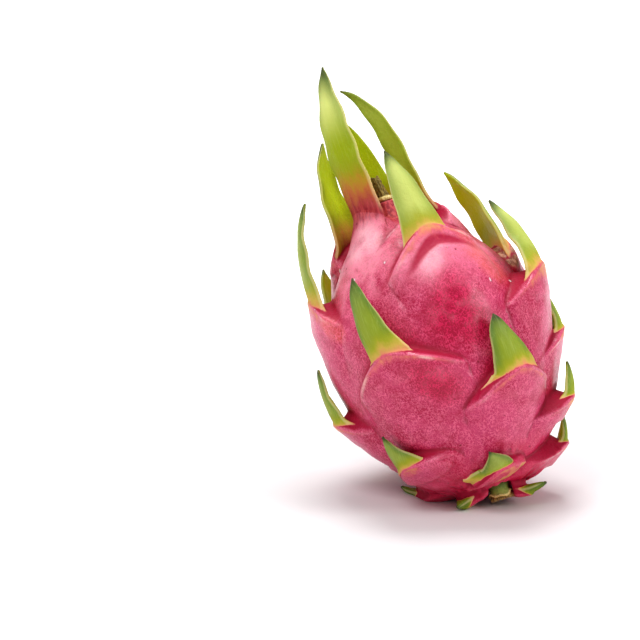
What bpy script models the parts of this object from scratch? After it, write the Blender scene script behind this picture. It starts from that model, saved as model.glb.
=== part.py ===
"""A dragon fruit as picked, standing on its stem end and leaning to one side and back.

The skin, its lobes and its leaf-like bracts grew as one piece, so they are one solid. The woody
stub of the stem and the dried remains of the flower are of other tissue and are nodes of their own.

The fruit is worked out in its own frame: the axis runs up +Z from the stem end, an azimuth of 0
faces -Y and grows towards +X. It is then leaned over, set down on its flat spot and cut level there.
Sizes are in metres and angles in degrees.
"""

import math
from typing import NamedTuple

import bmesh
import bpy
import numpy as np
from mathutils import Matrix, Vector

# Attitude: how far the axis leans towards -X and towards +Y, and how deep the flat spot is pressed.
LEAN_LEFT = 20.0
LEAN_BACK = 15.0
FLAT_SPOT_DEPTH = 0.0026
FLAT_SPOT_CENTRE = (-0.0175, 0.0135)
FLOOR_BLOCK = 0.2

# Outline of the fruit without its lobes, as radius and height, from the stem's seat to the flower's.
OUTLINE = (
    (0.0052, 0.0046),
    (0.0105, 0.0032),
    (0.0178, 0.0062),
    (0.0252, 0.0145),
    (0.0332, 0.0300),
    (0.0378, 0.0500),
    (0.0366, 0.0690),
    (0.0308, 0.0830),
    (0.0228, 0.0930),
    (0.0145, 0.0998),
    (0.0086, 0.1045),
    (0.0054, 0.1085),
    (0.0036, 0.1120),
)
ROWS = 40
AROUND = 60
ROW_CROWDING = 0.045
OUTLINE_POINTS = 24
SLOPE_STEP = 0.0008

# Relief of the skin: how soft the step above a lobe is, how firmly lobes meet in a crease, how far
# a lobe's shoulders fall below the bract's foot, how round and narrow it is lower down, and a slow
# swell of the whole skin. The relief fades out towards both ends of the outline.
LOBE_STEP = 0.0036
CREASE = 5.0
SHOULDER_FALL = 0.50
SHOULDER_CURVE = 1.4
SIDE_ROUNDNESS = 0.85
LOW_ROUNDNESS = 0.7
RAMP_CURVE = 1.25
LOW_NARROWING = 0.5
SWELL = 0.0006
SWELL_SIDES = 3
SWELL_TURN = 70.0
SWELL_RATE = 60.0
SWELL_START = 1.3
SWELL_RADIUS = 0.02
SEAT_FADE = 0.004
NECK_FADE = 0.006

# Blades of the bracts: their section, their lance shape on a foot that spreads, their sunk root, and
# how many sections and points across each is lofted through.
BLADE_THICK = 0.0036
TIP_THICK = 0.0012
MARGIN_THICK = 0.0010
THINNING = 0.7
CHANNEL = 0.26
FOOT_CHANNEL = 0.22
CHANNEL_REACH = 0.35
POINT = 0.60
TIP_POINT = 0.25
FLARE = 0.55
FLARE_REACH = 0.22
SKIRT = 0.30
SKIRT_REACH = 0.05
FLARE_RADIUS = 0.030
TWIST_HASTE = 1.4
USUAL_SLIMNESS = 2.2
FULLNESS = (1.6, 2.1)
FULLNESS_RATE = 0.35
MARGIN_DROP = 3
ROOT_DEPTH = 0.0085
ROOT_SHARE = 0.7
ROOT_SLOPE = 26.0
FOOT_SINK = 0.4
TIP_WIDTH = 0.0011
LONG_BLADE = 0.020
LONG_SECTIONS = 8
SHORT_SECTIONS = 5
ACROSS = (-1.0, -0.55, 0.0, 0.55, 1.0)

# Blades shorter than a length are small scales, pointed like a thorn and not like a lance.
SCALE_LENGTH = 0.0150
SCALE_CHANGE = 0.0050
SCALE_POINT = 1.15

# Stem stub and dried flower, whose profiles are shares of their radius and length. The stub stands
# in a socket beside the axis, at the front of the stem end.
GAP = 0.0003
STUB_PLACE = (0.0045, -0.0065)
STUB_TOP = 0.0040
STUB_RADIUS = 0.0040
STUB_LENGTH = 0.0070
STUB_PROFILE = ((1.06, 1.0), (1.12, 0.80), (0.92, 0.50), (1.0, 0.0))
SOCKET_RADIUS = 0.0049
SOCKET_LOW = -0.0150
STYLE_RADIUS = 0.0021
STYLE_LENGTH = 0.0085
STYLE_PROFILE = ((1.0, 0.0), (1.06, 0.3), (0.94, 0.6), (1.05, 0.85), (0.80, 1.0))
COLLAR_RADIUS = 0.0029
COLLAR_HEIGHT = 0.0016
COLLAR_PROFILE = ((0.92, 0.0), (1.08, 0.3), (1.0, 1.0))
RIBS = 3
RIB_TURN = 400.0
STYLE_LEAN = 8.0


class Lobe(NamedTuple):
    """The swelling of the skin below a bract."""

    length: float
    half_width: float
    height: float
    tilt: float


class Bract(NamedTuple):
    """A leaf-like scale. out is its angle from the fruit's axis outwards at the foot, half way up and
    at the tip. side is its angle towards growing azimuth at the foot and at the tip, and twist is how
    far it has turned about its own mid line at the tip."""

    name: str
    height: float
    azimuth: float
    length: float
    width: float
    out: tuple
    side: tuple
    twist: float
    lobe: Lobe


BRACTS = (
    Bract("crown_front", 0.1055, -58, 0.0570, 0.0195, (6, -2, -12), (-6, 12), 14,
          Lobe(0.034, 0.014, 0.0058, 0)),
    Bract("crown_left", 0.0972, -118, 0.0395, 0.0165, (6, -3, -32), (0, 0), 0,
          Lobe(0.030, 0.014, 0.0078, 0)),
    Bract("crown_back", 0.1040, 186, 0.0375, 0.0125, (0, -4, -12), (6, 6), 0,
          Lobe(0.028, 0.014, 0.0070, 6)),
    Bract("crown_right", 0.0998, 130, 0.0568, 0.0090, (-17, -13, -64), (3, -3), 26,
          Lobe(0.028, 0.014, 0.0075, 0)),
    Bract("crown_low", 0.0910, 22.5, 0.0335, 0.0130, (2, -10, -18), (-3, -6), 0,
          Lobe(0.046, 0.021, 0.0065, -6)),
    Bract("high_right", 0.0815, 110, 0.0342, 0.0140, (-4, -19, -36), (6, -8), 14,
          Lobe(0.034, 0.018, 0.0062, -4)),
    Bract("high_left", 0.0815, -82, 0.0385, 0.0125, (0, -11, -38), (0, 0), 0,
          Lobe(0.040, 0.018, 0.0070, 0)),
    Bract("high_back", 0.0870, 178, 0.0300, 0.0130, (-6, -12, -26), (0, 4), 0,
          Lobe(0.034, 0.018, 0.0062, 0)),
    Bract("upper_right", 0.0690, 78, 0.0315, 0.0135, (-2, -20, -30), (20, 0), -16,
          Lobe(0.042, 0.019, 0.0096, 2)),
    Bract("upper_left_back", 0.0760, -122, 0.0205, 0.0110, (0, -8, -20), (4, 4), 0,
          Lobe(0.030, 0.016, 0.0055, 4)),
    Bract("middle_right_back", 0.0640, 148, 0.0230, 0.0115, (4, -6, -16), (-3, 0), 0,
          Lobe(0.034, 0.019, 0.0062, -3)),
    Bract("middle_front", 0.0575, -21, 0.0305, 0.0110, (8, 0, -6), (-18, 6), 0,
          Lobe(0.040, 0.023, 0.0064, -2)),
    Bract("middle_left_back", 0.0550, -158, 0.0230, 0.0115, (6, -4, -14), (3, 3), 0,
          Lobe(0.034, 0.019, 0.0062, 3)),
    Bract("middle_right", 0.0485, 96, 0.0165, 0.0105, (4, -4, -12), (0, 0), 0,
          Lobe(0.042, 0.019, 0.0072, 0)),
    Bract("middle_left", 0.0425, -84, 0.0215, 0.0115, (12, 4, -12), (0, 0), 0,
          Lobe(0.026, 0.016, 0.0065, 0)),
    Bract("lower_front", 0.0405, 37, 0.0212, 0.0148, (8, 0, -4), (-9, -7), 0,
          Lobe(0.029, 0.0195, 0.0074, 0)),
    Bract("lower_back", 0.0340, 158, 0.0160, 0.0115, (16, 8, 0), (0, 0), 0,
          Lobe(0.026, 0.018, 0.0062, 0)),
    Bract("lower_left_back", 0.0260, -128, 0.0140, 0.0105, (24, 16, 6), (0, 0), 0,
          Lobe(0.021, 0.016, 0.0050, 0)),
    Bract("low_right", 0.0272, 84, 0.0125, 0.0100, (26, 14, 4), (0, 0), 0,
          Lobe(0.024, 0.016, 0.0090, 0)),
    Bract("low_front_left", 0.0215, -42, 0.0145, 0.0135, (26, 14, 4), (-20, -10), 0,
          Lobe(0.018, 0.015, 0.0060, -16)),
    Bract("low_back", 0.0160, -172, 0.0100, 0.0100, (40, 30, 20), (0, 0), 0,
          Lobe(0.015, 0.014, 0.0058, 0)),
    Bract("bottom_right", 0.0135, 100, 0.0100, 0.0090, (32, 22, 14), (0, 0), 0,
          Lobe(0.028, 0.017, 0.0094, 0)),
    Bract("bottom_back", 0.0140, -138, 0.0080, 0.0085, (60, 50, 40), (0, 0), 0,
          Lobe(0.014, 0.014, 0.0062, 0)),
    Bract("bottom_left", 0.0100, -104, 0.0080, 0.0085, (56, 48, 40), (0, 0), 0,
          Lobe(0.012, 0.012, 0.0045, 0)),
    Bract("bottom_front", 0.0110, 16, 0.0085, 0.0150, (44, 34, 24), (-16, -22), 0,
          Lobe(0.009, 0.013, 0.0048, -14)),
    Bract("seat_right", 0.0036, 70, 0.0085, 0.0080, (92, 88, 84), (0, 0), 0,
          Lobe(0.014, 0.012, 0.0075, 0)),
    Bract("seat_back", 0.0044, 168, 0.0055, 0.0080, (84, 80, 76), (0, 0), 0,
          Lobe(0.008, 0.010, 0.0042, 0)),
    Bract("seat_left", 0.0036, -38, 0.0055, 0.0080, (96, 94, 92), (0, 0), 0,
          Lobe(0.008, 0.009, 0.0045, 0)),
)

# Colours of the plain solids.
SKIN = (0.62, 0.09, 0.20, 1.0)
WOOD = (0.20, 0.17, 0.07, 1.0)
DRIED = (0.24, 0.17, 0.08, 1.0)


def smooth_curve(points, per_span):
    """Points along a Catmull-Rom curve through the given ones."""
    knots = np.array(points)
    knots = np.vstack([2 * knots[0] - knots[1], knots, 2 * knots[-1] - knots[-2]])
    made = []
    for before, start, end, after in zip(knots, knots[1:], knots[2:], knots[3:]):
        for t in np.arange(per_span) / per_span:
            made.append(
                0.5
                * (
                    2 * start
                    + (end - before) * t
                    + (2 * before - 5 * start + 4 * end - after) * t**2
                    + (3 * start - before - 3 * end + after) * t**3
                )
            )
    return np.array([*made, knots[-2]])


def eased(value):
    """A smooth step from 0 to 1."""
    share = min(1.0, max(0.0, value))
    return share * share * (3 - 2 * share)


OUTLINE_CURVE = smooth_curve(OUTLINE, OUTLINE_POINTS)
OUTLINE_ALONG = np.concatenate(
    [[0.0], np.cumsum(np.linalg.norm(np.diff(OUTLINE_CURVE, axis=0), axis=1))]
)


def along_at(height):
    """Distance along the outline, from the stem's seat, at which it reaches a height."""
    lowest = int(np.argmin(OUTLINE_CURVE[:, 1]))
    return float(np.interp(height, OUTLINE_CURVE[lowest:, 1], OUTLINE_ALONG[lowest:]))


def outline_at(along):
    """Radius and height at a distance along the outline."""
    return (
        np.interp(along, OUTLINE_ALONG, OUTLINE_CURVE[:, 0]),
        np.interp(along, OUTLINE_ALONG, OUTLINE_CURVE[:, 1]),
    )


def outward_at(along):
    """The outline's outward normal, as its parts along the radius and along the axis."""
    r0, h0 = outline_at(along - SLOPE_STEP)
    r1, h1 = outline_at(along + SLOPE_STEP)
    size = np.hypot(r1 - r0, h1 - h0)
    return (h1 - h0) / size, (r0 - r1) / size


def shoulder_fall(bract, across):
    """How far below the bract's foot the top edge of its lobe is, at a distance across."""
    share = np.abs(across) / bract.lobe.half_width
    return SHOULDER_FALL * bract.lobe.half_width * share**SHOULDER_CURVE


def lobe_relief(bract, radius, along, azimuth):
    """How far a bract's lobe lifts the skin at places given by radius, distance along and azimuth."""
    turn = (azimuth - math.radians(bract.azimuth) + math.pi) % (2 * math.pi) - math.pi
    tilt = math.radians(bract.lobe.tilt)
    flat, rise = radius * turn, along - along_at(bract.height)
    across = flat * math.cos(tilt) - rise * math.sin(tilt)
    up = flat * math.sin(tilt) + rise * math.cos(tilt)
    lobe = bract.lobe
    below = -shoulder_fall(bract, across) - up
    lower = np.clip(below / lobe.length, 0, 1)
    share = np.abs(across) / (lobe.half_width * (1 - LOW_NARROWING * lower**2))
    flattening = np.clip(2 * lower, 0, 1)
    roundness = SIDE_ROUNDNESS + LOW_ROUNDNESS * flattening**2 * (3 - 2 * flattening)
    sides = np.clip(1 - share**2, 0, 1) ** roundness
    step = np.exp(-((np.minimum(below, 0) / LOBE_STEP) ** 2))
    return lobe.height * sides * np.where(below > 0, (1 - lower) ** RAMP_CURVE, step)


def relief(radius, along, azimuth):
    """Height of the skin over the outline: the lobes, joined in creases, and a slow swell."""
    total = sum(lobe_relief(b, radius, along, azimuth) ** CREASE for b in BRACTS)
    round_about = np.sin(SWELL_SIDES * azimuth + SWELL_TURN * along)
    swell = round_about * np.sin(SWELL_RATE * along + SWELL_START)
    fade = np.clip(radius / SWELL_RADIUS, 0, 1)
    return total ** (1 / CREASE) + SWELL * swell * fade


def radial(azimuth):
    """Unit vectors outwards and around at an azimuth in radians."""
    outwards = Vector((math.sin(azimuth), -math.cos(azimuth), 0))
    around = Vector((math.cos(azimuth), math.sin(azimuth), 0))
    return outwards, around


def skin_rings():
    """Rings of points on the relieved skin, from the stem's seat to the flower's."""
    # Rows are closer where the outline is tight, at the seat and at the neck.
    share = np.linspace(0, 1, ROWS)
    share = share + ROW_CROWDING * np.sin(2 * math.pi * share)
    azimuth = np.arange(AROUND) / AROUND * 2 * math.pi
    rings = []
    for along in share * OUTLINE_ALONG[-1]:
        radius, height = outline_at(along)
        out_part, up_part = outward_at(along)
        ends = min(1.0, along / SEAT_FADE, (OUTLINE_ALONG[-1] - along) / NECK_FADE)
        lift = relief(np.full(AROUND, radius), np.full(AROUND, along), azimuth) * ends
        out, up = radius + lift * out_part, height + lift * up_part
        rings.append(np.column_stack([out * np.sin(azimuth), -out * np.cos(azimuth), up]))
    return rings


def loft(name, rings):
    """A closed solid through rings of points that run the same way round, with capped ends."""
    mesh = bmesh.new()
    loops = [[mesh.verts.new(point) for point in ring] for ring in rings]
    count = len(loops[0])
    for low, high in zip(loops, loops[1:]):
        for i in range(count):
            j = (i + 1) % count
            mesh.faces.new((low[i], low[j], high[j], high[i]))
    mesh.faces.new(loops[0][::-1])
    mesh.faces.new(loops[-1])
    bmesh.ops.recalc_face_normals(mesh, faces=mesh.faces)
    bmesh.ops.triangulate(mesh, faces=[f for f in mesh.faces if len(f.verts) > 4])
    data = bpy.data.meshes.new(name)
    mesh.to_mesh(data)
    mesh.free()
    return bpy.data.objects.new(name, data)


def half_width(bract, share):
    """Half the blade's width at a share of its length: a lance shape on a foot that spreads."""
    share = max(share, 0.0)
    slimness = bract.length / bract.width - USUAL_SLIMNESS
    fullness = min(FULLNESS[1], max(FULLNESS[0], FULLNESS[0] + FULLNESS_RATE * slimness))
    lance = (1 - share**fullness) ** (POINT + TIP_POINT * share**6)
    thorn = (1 - share) ** SCALE_POINT
    lance += (thorn - lance) * eased((SCALE_LENGTH + SCALE_CHANGE - bract.length) / SCALE_CHANGE)
    # The foot spreads less where the fruit is slim.
    room = min(1.0, float(outline_at(along_at(bract.height))[0]) / FLARE_RADIUS)
    spread = FLARE * math.exp(-share / FLARE_REACH) + SKIRT * math.exp(-share / SKIRT_REACH)
    return max(TIP_WIDTH / 2, bract.width / 2 * lance * (1 + room * spread))


def half_thickness(share):
    """Half the blade's thickness on its mid line."""
    return (TIP_THICK + (BLADE_THICK - TIP_THICK) * (1 - max(share, 0.0)) ** THINNING) / 2


def foot_of(bract):
    """Where the blade's mid line leaves the skin, with the skin's upward and outward directions."""
    along = along_at(bract.height)
    radius, height = (float(value) for value in outline_at(along))
    out_part, up_part = (float(value) for value in outward_at(along))
    outwards, _ = radial(math.radians(bract.azimuth))
    normal = outwards * out_part + Vector((0, 0, up_part))
    upward = outwards * -up_part + Vector((0, 0, out_part))
    skin = outwards * radius + Vector((0, 0, height))
    return skin + normal * (bract.lobe.height - FOOT_SINK * BLADE_THICK), upward, normal


def through_three(values, share):
    """The parabola through values at the shares 0, 1/2 and 1."""
    first, middle, last = values
    bend = 2 * (first - 2 * middle + last)
    return first + (last - first - bend) * share + bend * share**2


def spine(bract):
    """Places and directions along the blade's mid line, and the share of its length at each."""
    foot, upward, normal = foot_of(bract)
    outwards, around = radial(math.radians(bract.azimuth))
    slope = math.radians(ROOT_SLOPE)
    rooted = upward * math.cos(slope) + normal * math.sin(slope)
    root = min(ROOT_DEPTH, ROOT_SHARE * bract.lobe.length)
    places = [foot - rooted * root, foot - rooted * root / 2]
    directions = [rooted, rooted]
    shares = [-2.0, -1.0]
    place = foot
    sections = LONG_SECTIONS if bract.length > LONG_BLADE else SHORT_SECTIONS
    for share in np.linspace(0, 1, sections).tolist():
        out = math.radians(through_three(bract.out, share))
        side = math.radians(bract.side[0] + (bract.side[1] - bract.side[0]) * share)
        direction = (
            Vector((0, 0, 1)) * math.cos(out) * math.cos(side)
            + outwards * math.sin(out)
            + around * math.cos(out) * math.sin(side)
        )
        if share > 0:
            step = (direction + directions[-1]).normalized()
            place = place + step * (bract.length / (sections - 1))
        else:
            direction = (direction + rooted).normalized()
        places.append(place)
        directions.append(direction)
        shares.append(share)
    return places, directions, shares, around


def make_blade(bract):
    """The blade of one bract: a channelled section lofted along its spine from a sunk root."""
    places, directions, shares, around = spine(bract)
    rings = []
    for place, along, share in zip(places, directions, shares):
        across = (around - along * around.dot(along)).normalized()
        across = Matrix.Rotation(math.radians(bract.twist) * eased(TWIST_HASTE * share), 3, along) @ across
        outward = across.cross(along)
        wide, thick = half_width(bract, share), half_thickness(share)
        margin = min(MARGIN_THICK / 2, thick)
        channel = FOOT_CHANNEL + (CHANNEL - FOOT_CHANNEL) * eased(share / CHANNEL_REACH)
        outer, inner = [], []
        for x in ACROSS:
            # The margins run down onto the lobe's shoulders at the foot.
            fall = shoulder_fall(bract, x * wide) * (1 - max(share, 0.0)) ** MARGIN_DROP
            middle = place + across * x * wide - outward * channel * wide * x * x - along * fall
            deep = outward * (margin + (thick - margin) * (1 - x * x))
            outer.append(middle + deep)
            inner.append(middle - deep)
        rings.append(outer + inner[::-1])
    return loft(bract.name, rings)


def keep_largest_shell(data):
    """Drops the small shells that a union leaves loose or seals inside."""
    mesh = bmesh.new()
    mesh.from_mesh(data)
    waiting = set(mesh.faces)
    shells = []
    while waiting:
        shell = {waiting.pop()}
        edge_of_shell = set(shell)
        while edge_of_shell:
            beside = {f for face in edge_of_shell for e in face.edges for f in e.link_faces}
            edge_of_shell = beside & waiting
            waiting -= edge_of_shell
            shell |= edge_of_shell
        shells.append(shell)
    largest = max(shells, key=len)
    spare = [face for shell in shells if shell is not largest for face in shell]
    bmesh.ops.delete(mesh, geom=spare, context="FACES")
    mesh.to_mesh(data)
    mesh.free()


def apply_boolean(whole, operation, group):
    """Applies one Boolean with all the objects of a collection, and removes them."""
    boolean = whole.modifiers.new("boolean", "BOOLEAN")
    boolean.operation = operation
    boolean.solver = "MANIFOLD"
    boolean.operand_type = "COLLECTION"
    boolean.collection = group
    view = bpy.context.evaluated_depsgraph_get()
    made = bpy.data.meshes.new_from_object(whole.evaluated_get(view))
    keep_largest_shell(made)
    whole.modifiers.clear()
    whole.data = made
    for part in list(group.objects):
        bpy.data.objects.remove(part)
    bpy.data.collections.remove(group)


def collected(name, parts):
    """A collection of the scene that holds the parts."""
    group = bpy.data.collections.new(name)
    bpy.context.scene.collection.children.link(group)
    for part in parts:
        group.objects.link(part)
    return group


def make_fruit():
    """The fruit's skin with every bract, as one solid, with the socket that the stub stands in."""
    fruit = loft("fruit", skin_rings())
    bpy.context.scene.collection.objects.link(fruit)
    apply_boolean(fruit, "UNION", collected("bracts", [make_blade(bract) for bract in BRACTS]))
    socket = turned(
        "socket", ((SOCKET_RADIUS, SOCKET_LOW), (SOCKET_RADIUS, STUB_TOP + GAP)), 32, 0.0
    )
    socket.data.transform(Matrix.Translation((*STUB_PLACE, 0)))
    apply_boolean(fruit, "DIFFERENCE", collected("sockets", [socket]))
    return fruit


def turned(name, profile, around, wobble):
    """A solid turned about the fruit's axis from radius and height pairs, with an uneven radius."""
    angles = np.arange(around) / around * 2 * math.pi
    rings = []
    for radius, height in profile:
        uneven = radius * (1 + wobble * np.sin(RIBS * angles + RIB_TURN * height))
        rings.append(
            np.column_stack(
                [uneven * np.cos(angles), uneven * np.sin(angles), np.full(around, height)]
            )
        )
    made = loft(name, rings)
    bpy.context.scene.collection.objects.link(made)
    return made


def make_stem_stub():
    """The short woody stub that the fruit was cut from, in its socket."""
    profile = [(STUB_RADIUS * wide, STUB_TOP - STUB_LENGTH * down) for wide, down in STUB_PROFILE]
    stub = turned("stem_stub", profile, 24, 0.06)
    stub.data.transform(Matrix.Translation((*STUB_PLACE, 0)))
    return stub


def make_dried_flower():
    """The collar and the dried style that the flower left on the neck."""
    seat = OUTLINE[-1][1] + GAP
    rim = seat + COLLAR_HEIGHT
    profile = [(COLLAR_RADIUS * wide, seat + COLLAR_HEIGHT * up) for wide, up in COLLAR_PROFILE]
    profile += [(STYLE_RADIUS * wide, rim + STYLE_LENGTH * up) for wide, up in STYLE_PROFILE]
    flower = turned("dried_flower", profile, 18, 0.07)
    # The style leans further over than the collar that it stands in.
    for vertex in flower.data.vertices:
        vertex.co.x -= math.tan(math.radians(STYLE_LEAN)) * max(vertex.co.z - rim, 0)
    return flower


def lean_matrix():
    """The turn from the fruit's own frame to its leaning pose."""
    sideways = Matrix.Rotation(math.radians(-LEAN_LEFT), 4, "Y")
    backwards = Matrix.Rotation(math.radians(-LEAN_BACK), 4, "X")
    return sideways @ backwards


def lean_over(objects):
    """Leans the objects as one and sets them down with the flat spot's depth under the floor."""
    for made in objects:
        made.data.transform(lean_matrix())
    lowest = min(v.co.z for v in objects[0].data.vertices)
    move = Vector((-FLAT_SPOT_CENTRE[0], -FLAT_SPOT_CENTRE[1], -lowest - FLAT_SPOT_DEPTH))
    for made in objects:
        made.data.transform(Matrix.Translation(move))


def press_flat(fruit):
    """Cuts the fruit level at the floor."""
    block = bmesh.new()
    bmesh.ops.create_cube(block, size=FLOOR_BLOCK, matrix=Matrix.Translation((0, 0, -FLOOR_BLOCK / 2)))
    data = bpy.data.meshes.new("floor_block")
    block.to_mesh(data)
    block.free()
    floor = bpy.data.objects.new("floor_block", data)
    apply_boolean(fruit, "DIFFERENCE", collected("floor", [floor]))


def paint(made, colour, roughness):
    """Gives an object a plain material of its own."""
    material = bpy.data.materials.new(made.name)
    material.use_nodes = True
    shader = material.node_tree.nodes["Principled BSDF"]
    shader.inputs["Base Color"].default_value = colour
    shader.inputs["Roughness"].default_value = roughness
    made.data.materials.clear()
    made.data.materials.append(material)
    made.data.shade_smooth()
    made.data.set_sharp_from_angle(angle=math.radians(40))


def main():
    for old in list(bpy.data.objects):
        bpy.data.objects.remove(old)
    fruit = make_fruit()
    stub = make_stem_stub()
    flower = make_dried_flower()
    lean_over([fruit, stub, flower])
    press_flat(fruit)
    paint(fruit, SKIN, 0.45)
    paint(stub, WOOD, 0.8)
    paint(flower, DRIED, 0.85)


main()
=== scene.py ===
"""A dragon fruit standing on its stem end on a white ground.

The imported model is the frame. The skin with its lobes and leaf-like bracts is grown here as one fine
surface from the same outline and the same table of bracts as the plain model, the dried flower and
the stem's stub are made again in detail, and each takes the place of its solid.

The fruit is worked out in its own frame: the axis runs up +Z from the stem end, an azimuth of 0
faces -Y and grows towards +X. Sizes are in metres and angles in degrees, but the starts of waves,
STUB_NOTCH and FIBRE_SIDES are in radians.
"""

import itertools
import math
from typing import NamedTuple

import bmesh
import bpy
import numpy as np
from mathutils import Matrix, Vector


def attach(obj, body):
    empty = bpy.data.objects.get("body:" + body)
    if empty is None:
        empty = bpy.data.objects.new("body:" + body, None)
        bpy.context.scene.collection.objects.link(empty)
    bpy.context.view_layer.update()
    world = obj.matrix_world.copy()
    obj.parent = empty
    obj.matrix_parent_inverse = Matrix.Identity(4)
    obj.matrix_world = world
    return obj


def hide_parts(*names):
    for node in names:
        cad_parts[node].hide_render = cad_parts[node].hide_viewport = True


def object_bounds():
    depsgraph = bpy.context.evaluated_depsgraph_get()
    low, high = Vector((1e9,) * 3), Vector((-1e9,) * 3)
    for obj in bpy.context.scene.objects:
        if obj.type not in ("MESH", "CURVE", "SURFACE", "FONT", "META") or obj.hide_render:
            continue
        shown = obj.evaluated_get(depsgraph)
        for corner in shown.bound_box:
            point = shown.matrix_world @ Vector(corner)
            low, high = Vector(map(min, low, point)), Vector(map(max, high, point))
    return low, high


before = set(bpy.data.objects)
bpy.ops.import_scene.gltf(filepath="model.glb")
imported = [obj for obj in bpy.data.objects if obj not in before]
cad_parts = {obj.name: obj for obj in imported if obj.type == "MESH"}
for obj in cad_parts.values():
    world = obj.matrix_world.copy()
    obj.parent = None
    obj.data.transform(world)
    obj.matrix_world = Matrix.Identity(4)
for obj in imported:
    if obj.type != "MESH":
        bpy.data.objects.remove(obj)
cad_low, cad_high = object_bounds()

# Attitude of the fruit, and where its own frame's origin rests.
LEAN_LEFT = 20.0
LEAN_BACK = 15.0
SEAT = (0.0175, -0.0135, 0.0020617)

# Outline of the fruit without its lobes, as radius and height, from the stem's seat to the flower's.
OUTLINE = (
    (0.0052, 0.0046),
    (0.0105, 0.0032),
    (0.0178, 0.0062),
    (0.0252, 0.0145),
    (0.0332, 0.0300),
    (0.0378, 0.0500),
    (0.0366, 0.0690),
    (0.0308, 0.0830),
    (0.0228, 0.0930),
    (0.0145, 0.0998),
    (0.0086, 0.1045),
    (0.0054, 0.1085),
    (0.0036, 0.1120),
)

# Relief of the skin: how soft the step above a lobe is, how firmly lobes meet in a crease, how far
# a lobe's shoulders fall below the bract's foot, how round and narrow it is lower down, and a slow
# swell of the whole skin. The relief fades out towards both ends of the outline.
LOBE_STEP = 0.0018
CREASE = 6.0
SHOULDER_FALL = 0.50
SHOULDER_CURVE = 1.4
SIDE_CURVE = 2.0
SIDE_ROUNDNESS = 0.85
LOW_ROUNDNESS = 0.7
RAMP_CURVE = 1.25
LOW_NARROWING = 0.5
SWELL = 0.0006
SWELL_SIDES = 3
SWELL_TURN = 70.0
SWELL_RATE = 60.0
SWELL_START = 1.3
SWELL_RADIUS = 0.02
SEAT_FADE = 0.004
NECK_FADE = 0.006

# A shallow dip below each foot and a fine raised rim beside it, full on lobes of the usual length.
# The shares are of the lobe's half width, but the rim starts at a share of the foot's.
USUAL_LOBE = 0.028
DIP_DEPTH = 0.0002
DIP_BELOW = 0.0030
DIP_LENGTH = 0.0024
DIP_SHARE = 0.55
RIM_HEIGHT = 0.0007
RIM_WIDTH = 0.0005
RIM_START = 0.6

# Crimson grooves with painted shade under the feet of some blades: how strong, how far below, how
# wide and how deep.
GROOVES = {"crown_low": 1.0, "high_right": 0.5}
GROOVE_BELOW = 0.0046
GROOVE_WIDTH = 0.0022
GROOVE_DEPTH = 0.0011
GROOVE_SHARE = 0.65

# Random unevenness, as height, cells around and along, and seed: of the whole skin, and of the folds
# that it is drawn up into where the fruit grew round its stem.
UNEVENNESS = ((0.00035, (26, 14), 3), (0.00013, (70, 38), 4))
FOLDS = ((0.00055, (34, 22), 5), (0.00030, (80, 40), 6))
FOLDS_END = 0.040
FOLDS_REACH = 0.028
FOLDS_RADIUS = 0.012

# Lengthwise creases of the neck between the crown's blades, as depth, rate around, start, rate along
# and how wide each is.
NECK_CREASES = ((0.0005, 4.5, 0.9, 40.0, 0.35), (0.0003, 8.0, -0.6, 0.0, 0.30))
NECK_LENGTH = 0.018
NECK_START = 0.008

# Blades of the bracts: their section, their lance shape on a foot that spreads, their sunk root, and
# the keel and the waves of the margins that grew on them.
BLADE_THICK = 0.0036
TIP_THICK = 0.0010
MARGIN_THICK = 0.0010
THINNING = 0.7
CHANNEL = 0.26
FOOT_CHANNEL = 0.22
CHANNEL_REACH = 0.35
POINT = 0.60
TIP_POINT = 0.25
FLARE = 0.55
FLARE_REACH = 0.22
SKIRT = 0.30
SKIRT_REACH = 0.05
FLARE_RADIUS = 0.030
TWIST_HASTE = 1.4
USUAL_SLIMNESS = 2.2
FULLNESS = (1.6, 2.1)
FULLNESS_RATE = 0.35
MARGIN_DROP = 3
ROOT_DEPTH = 0.0085
ROOT_SHARE = 0.7
ROOT_SLOPE = 26.0
FOOT_SINK = 0.4
TIP_WIDTH = 0.0008
LONG_BLADE = 0.020
LONG_SECTIONS = 8
SHORT_SECTIONS = 5
KEEL = 0.00022
KEEL_WIDTH = 0.0009
KEEL_HASTE = 4
WAVE = 0.0004
WAVE_LENGTH = 0.013
WAVE_STAGGER = 1.7
WAVE_SLANT = 0.8
WAVE_HASTE = 3

# Blades shorter than a length are small scales, pointed like a thorn and not like a lance.
SCALE_LENGTH = 0.0150
SCALE_CHANGE = 0.0050
SCALE_POINT = 1.15

# How far corners are rounded: outside a blade's foot over a stretch of it, in its axil, round the
# mouth of the stub's socket and round the flat spot.
FOOT_BLEND = 0.0034
FOOT_BLEND_LENGTH = 0.010
FOOT_BLEND_SIDE = 0.0016
AXIL_BLEND = 0.0006
SOCKET_EDGE = 0.0012
SPOT_EDGE = 0.0005

# Stem stub, which stands in a socket beside the axis. Its profile is shares of its radius and how far
# down it is, with a flared rim that is torn lower in front. Fibres hang from its cut end and are
# coloured as if they were FIBRE_DOWN from its top. Ribs and frays are depth, rate around and along.
GAP = 0.0003
STUB_PLACE = (0.0045, -0.0065)
STUB_TOP = 0.0040
STUB_RADIUS = 0.0040
STUB_LENGTH = 0.0070
STUB_PROFILE = (
    (0.30, 0.0064),
    (0.50, 0.0062),
    (0.70, 0.0065),
    (0.85, 0.0062),
    (0.875, 0.0056),
    (0.95, 0.0052),
    (1.075, 0.0051),
    (1.10, 0.0049),
    (1.05, 0.0046),
    (0.925, 0.0040),
    (0.85, 0.0032),
    (0.875, 0.0024),
    (0.975, 0.0012),
    (1.0, 0.0002),
    (0.85, 0.0),
)
STUB_AROUND = 96
STUB_RIM_DOWN = 0.0048
STUB_RIM_REACH = 0.0012
STUB_RIM_DROP = 0.0007
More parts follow.
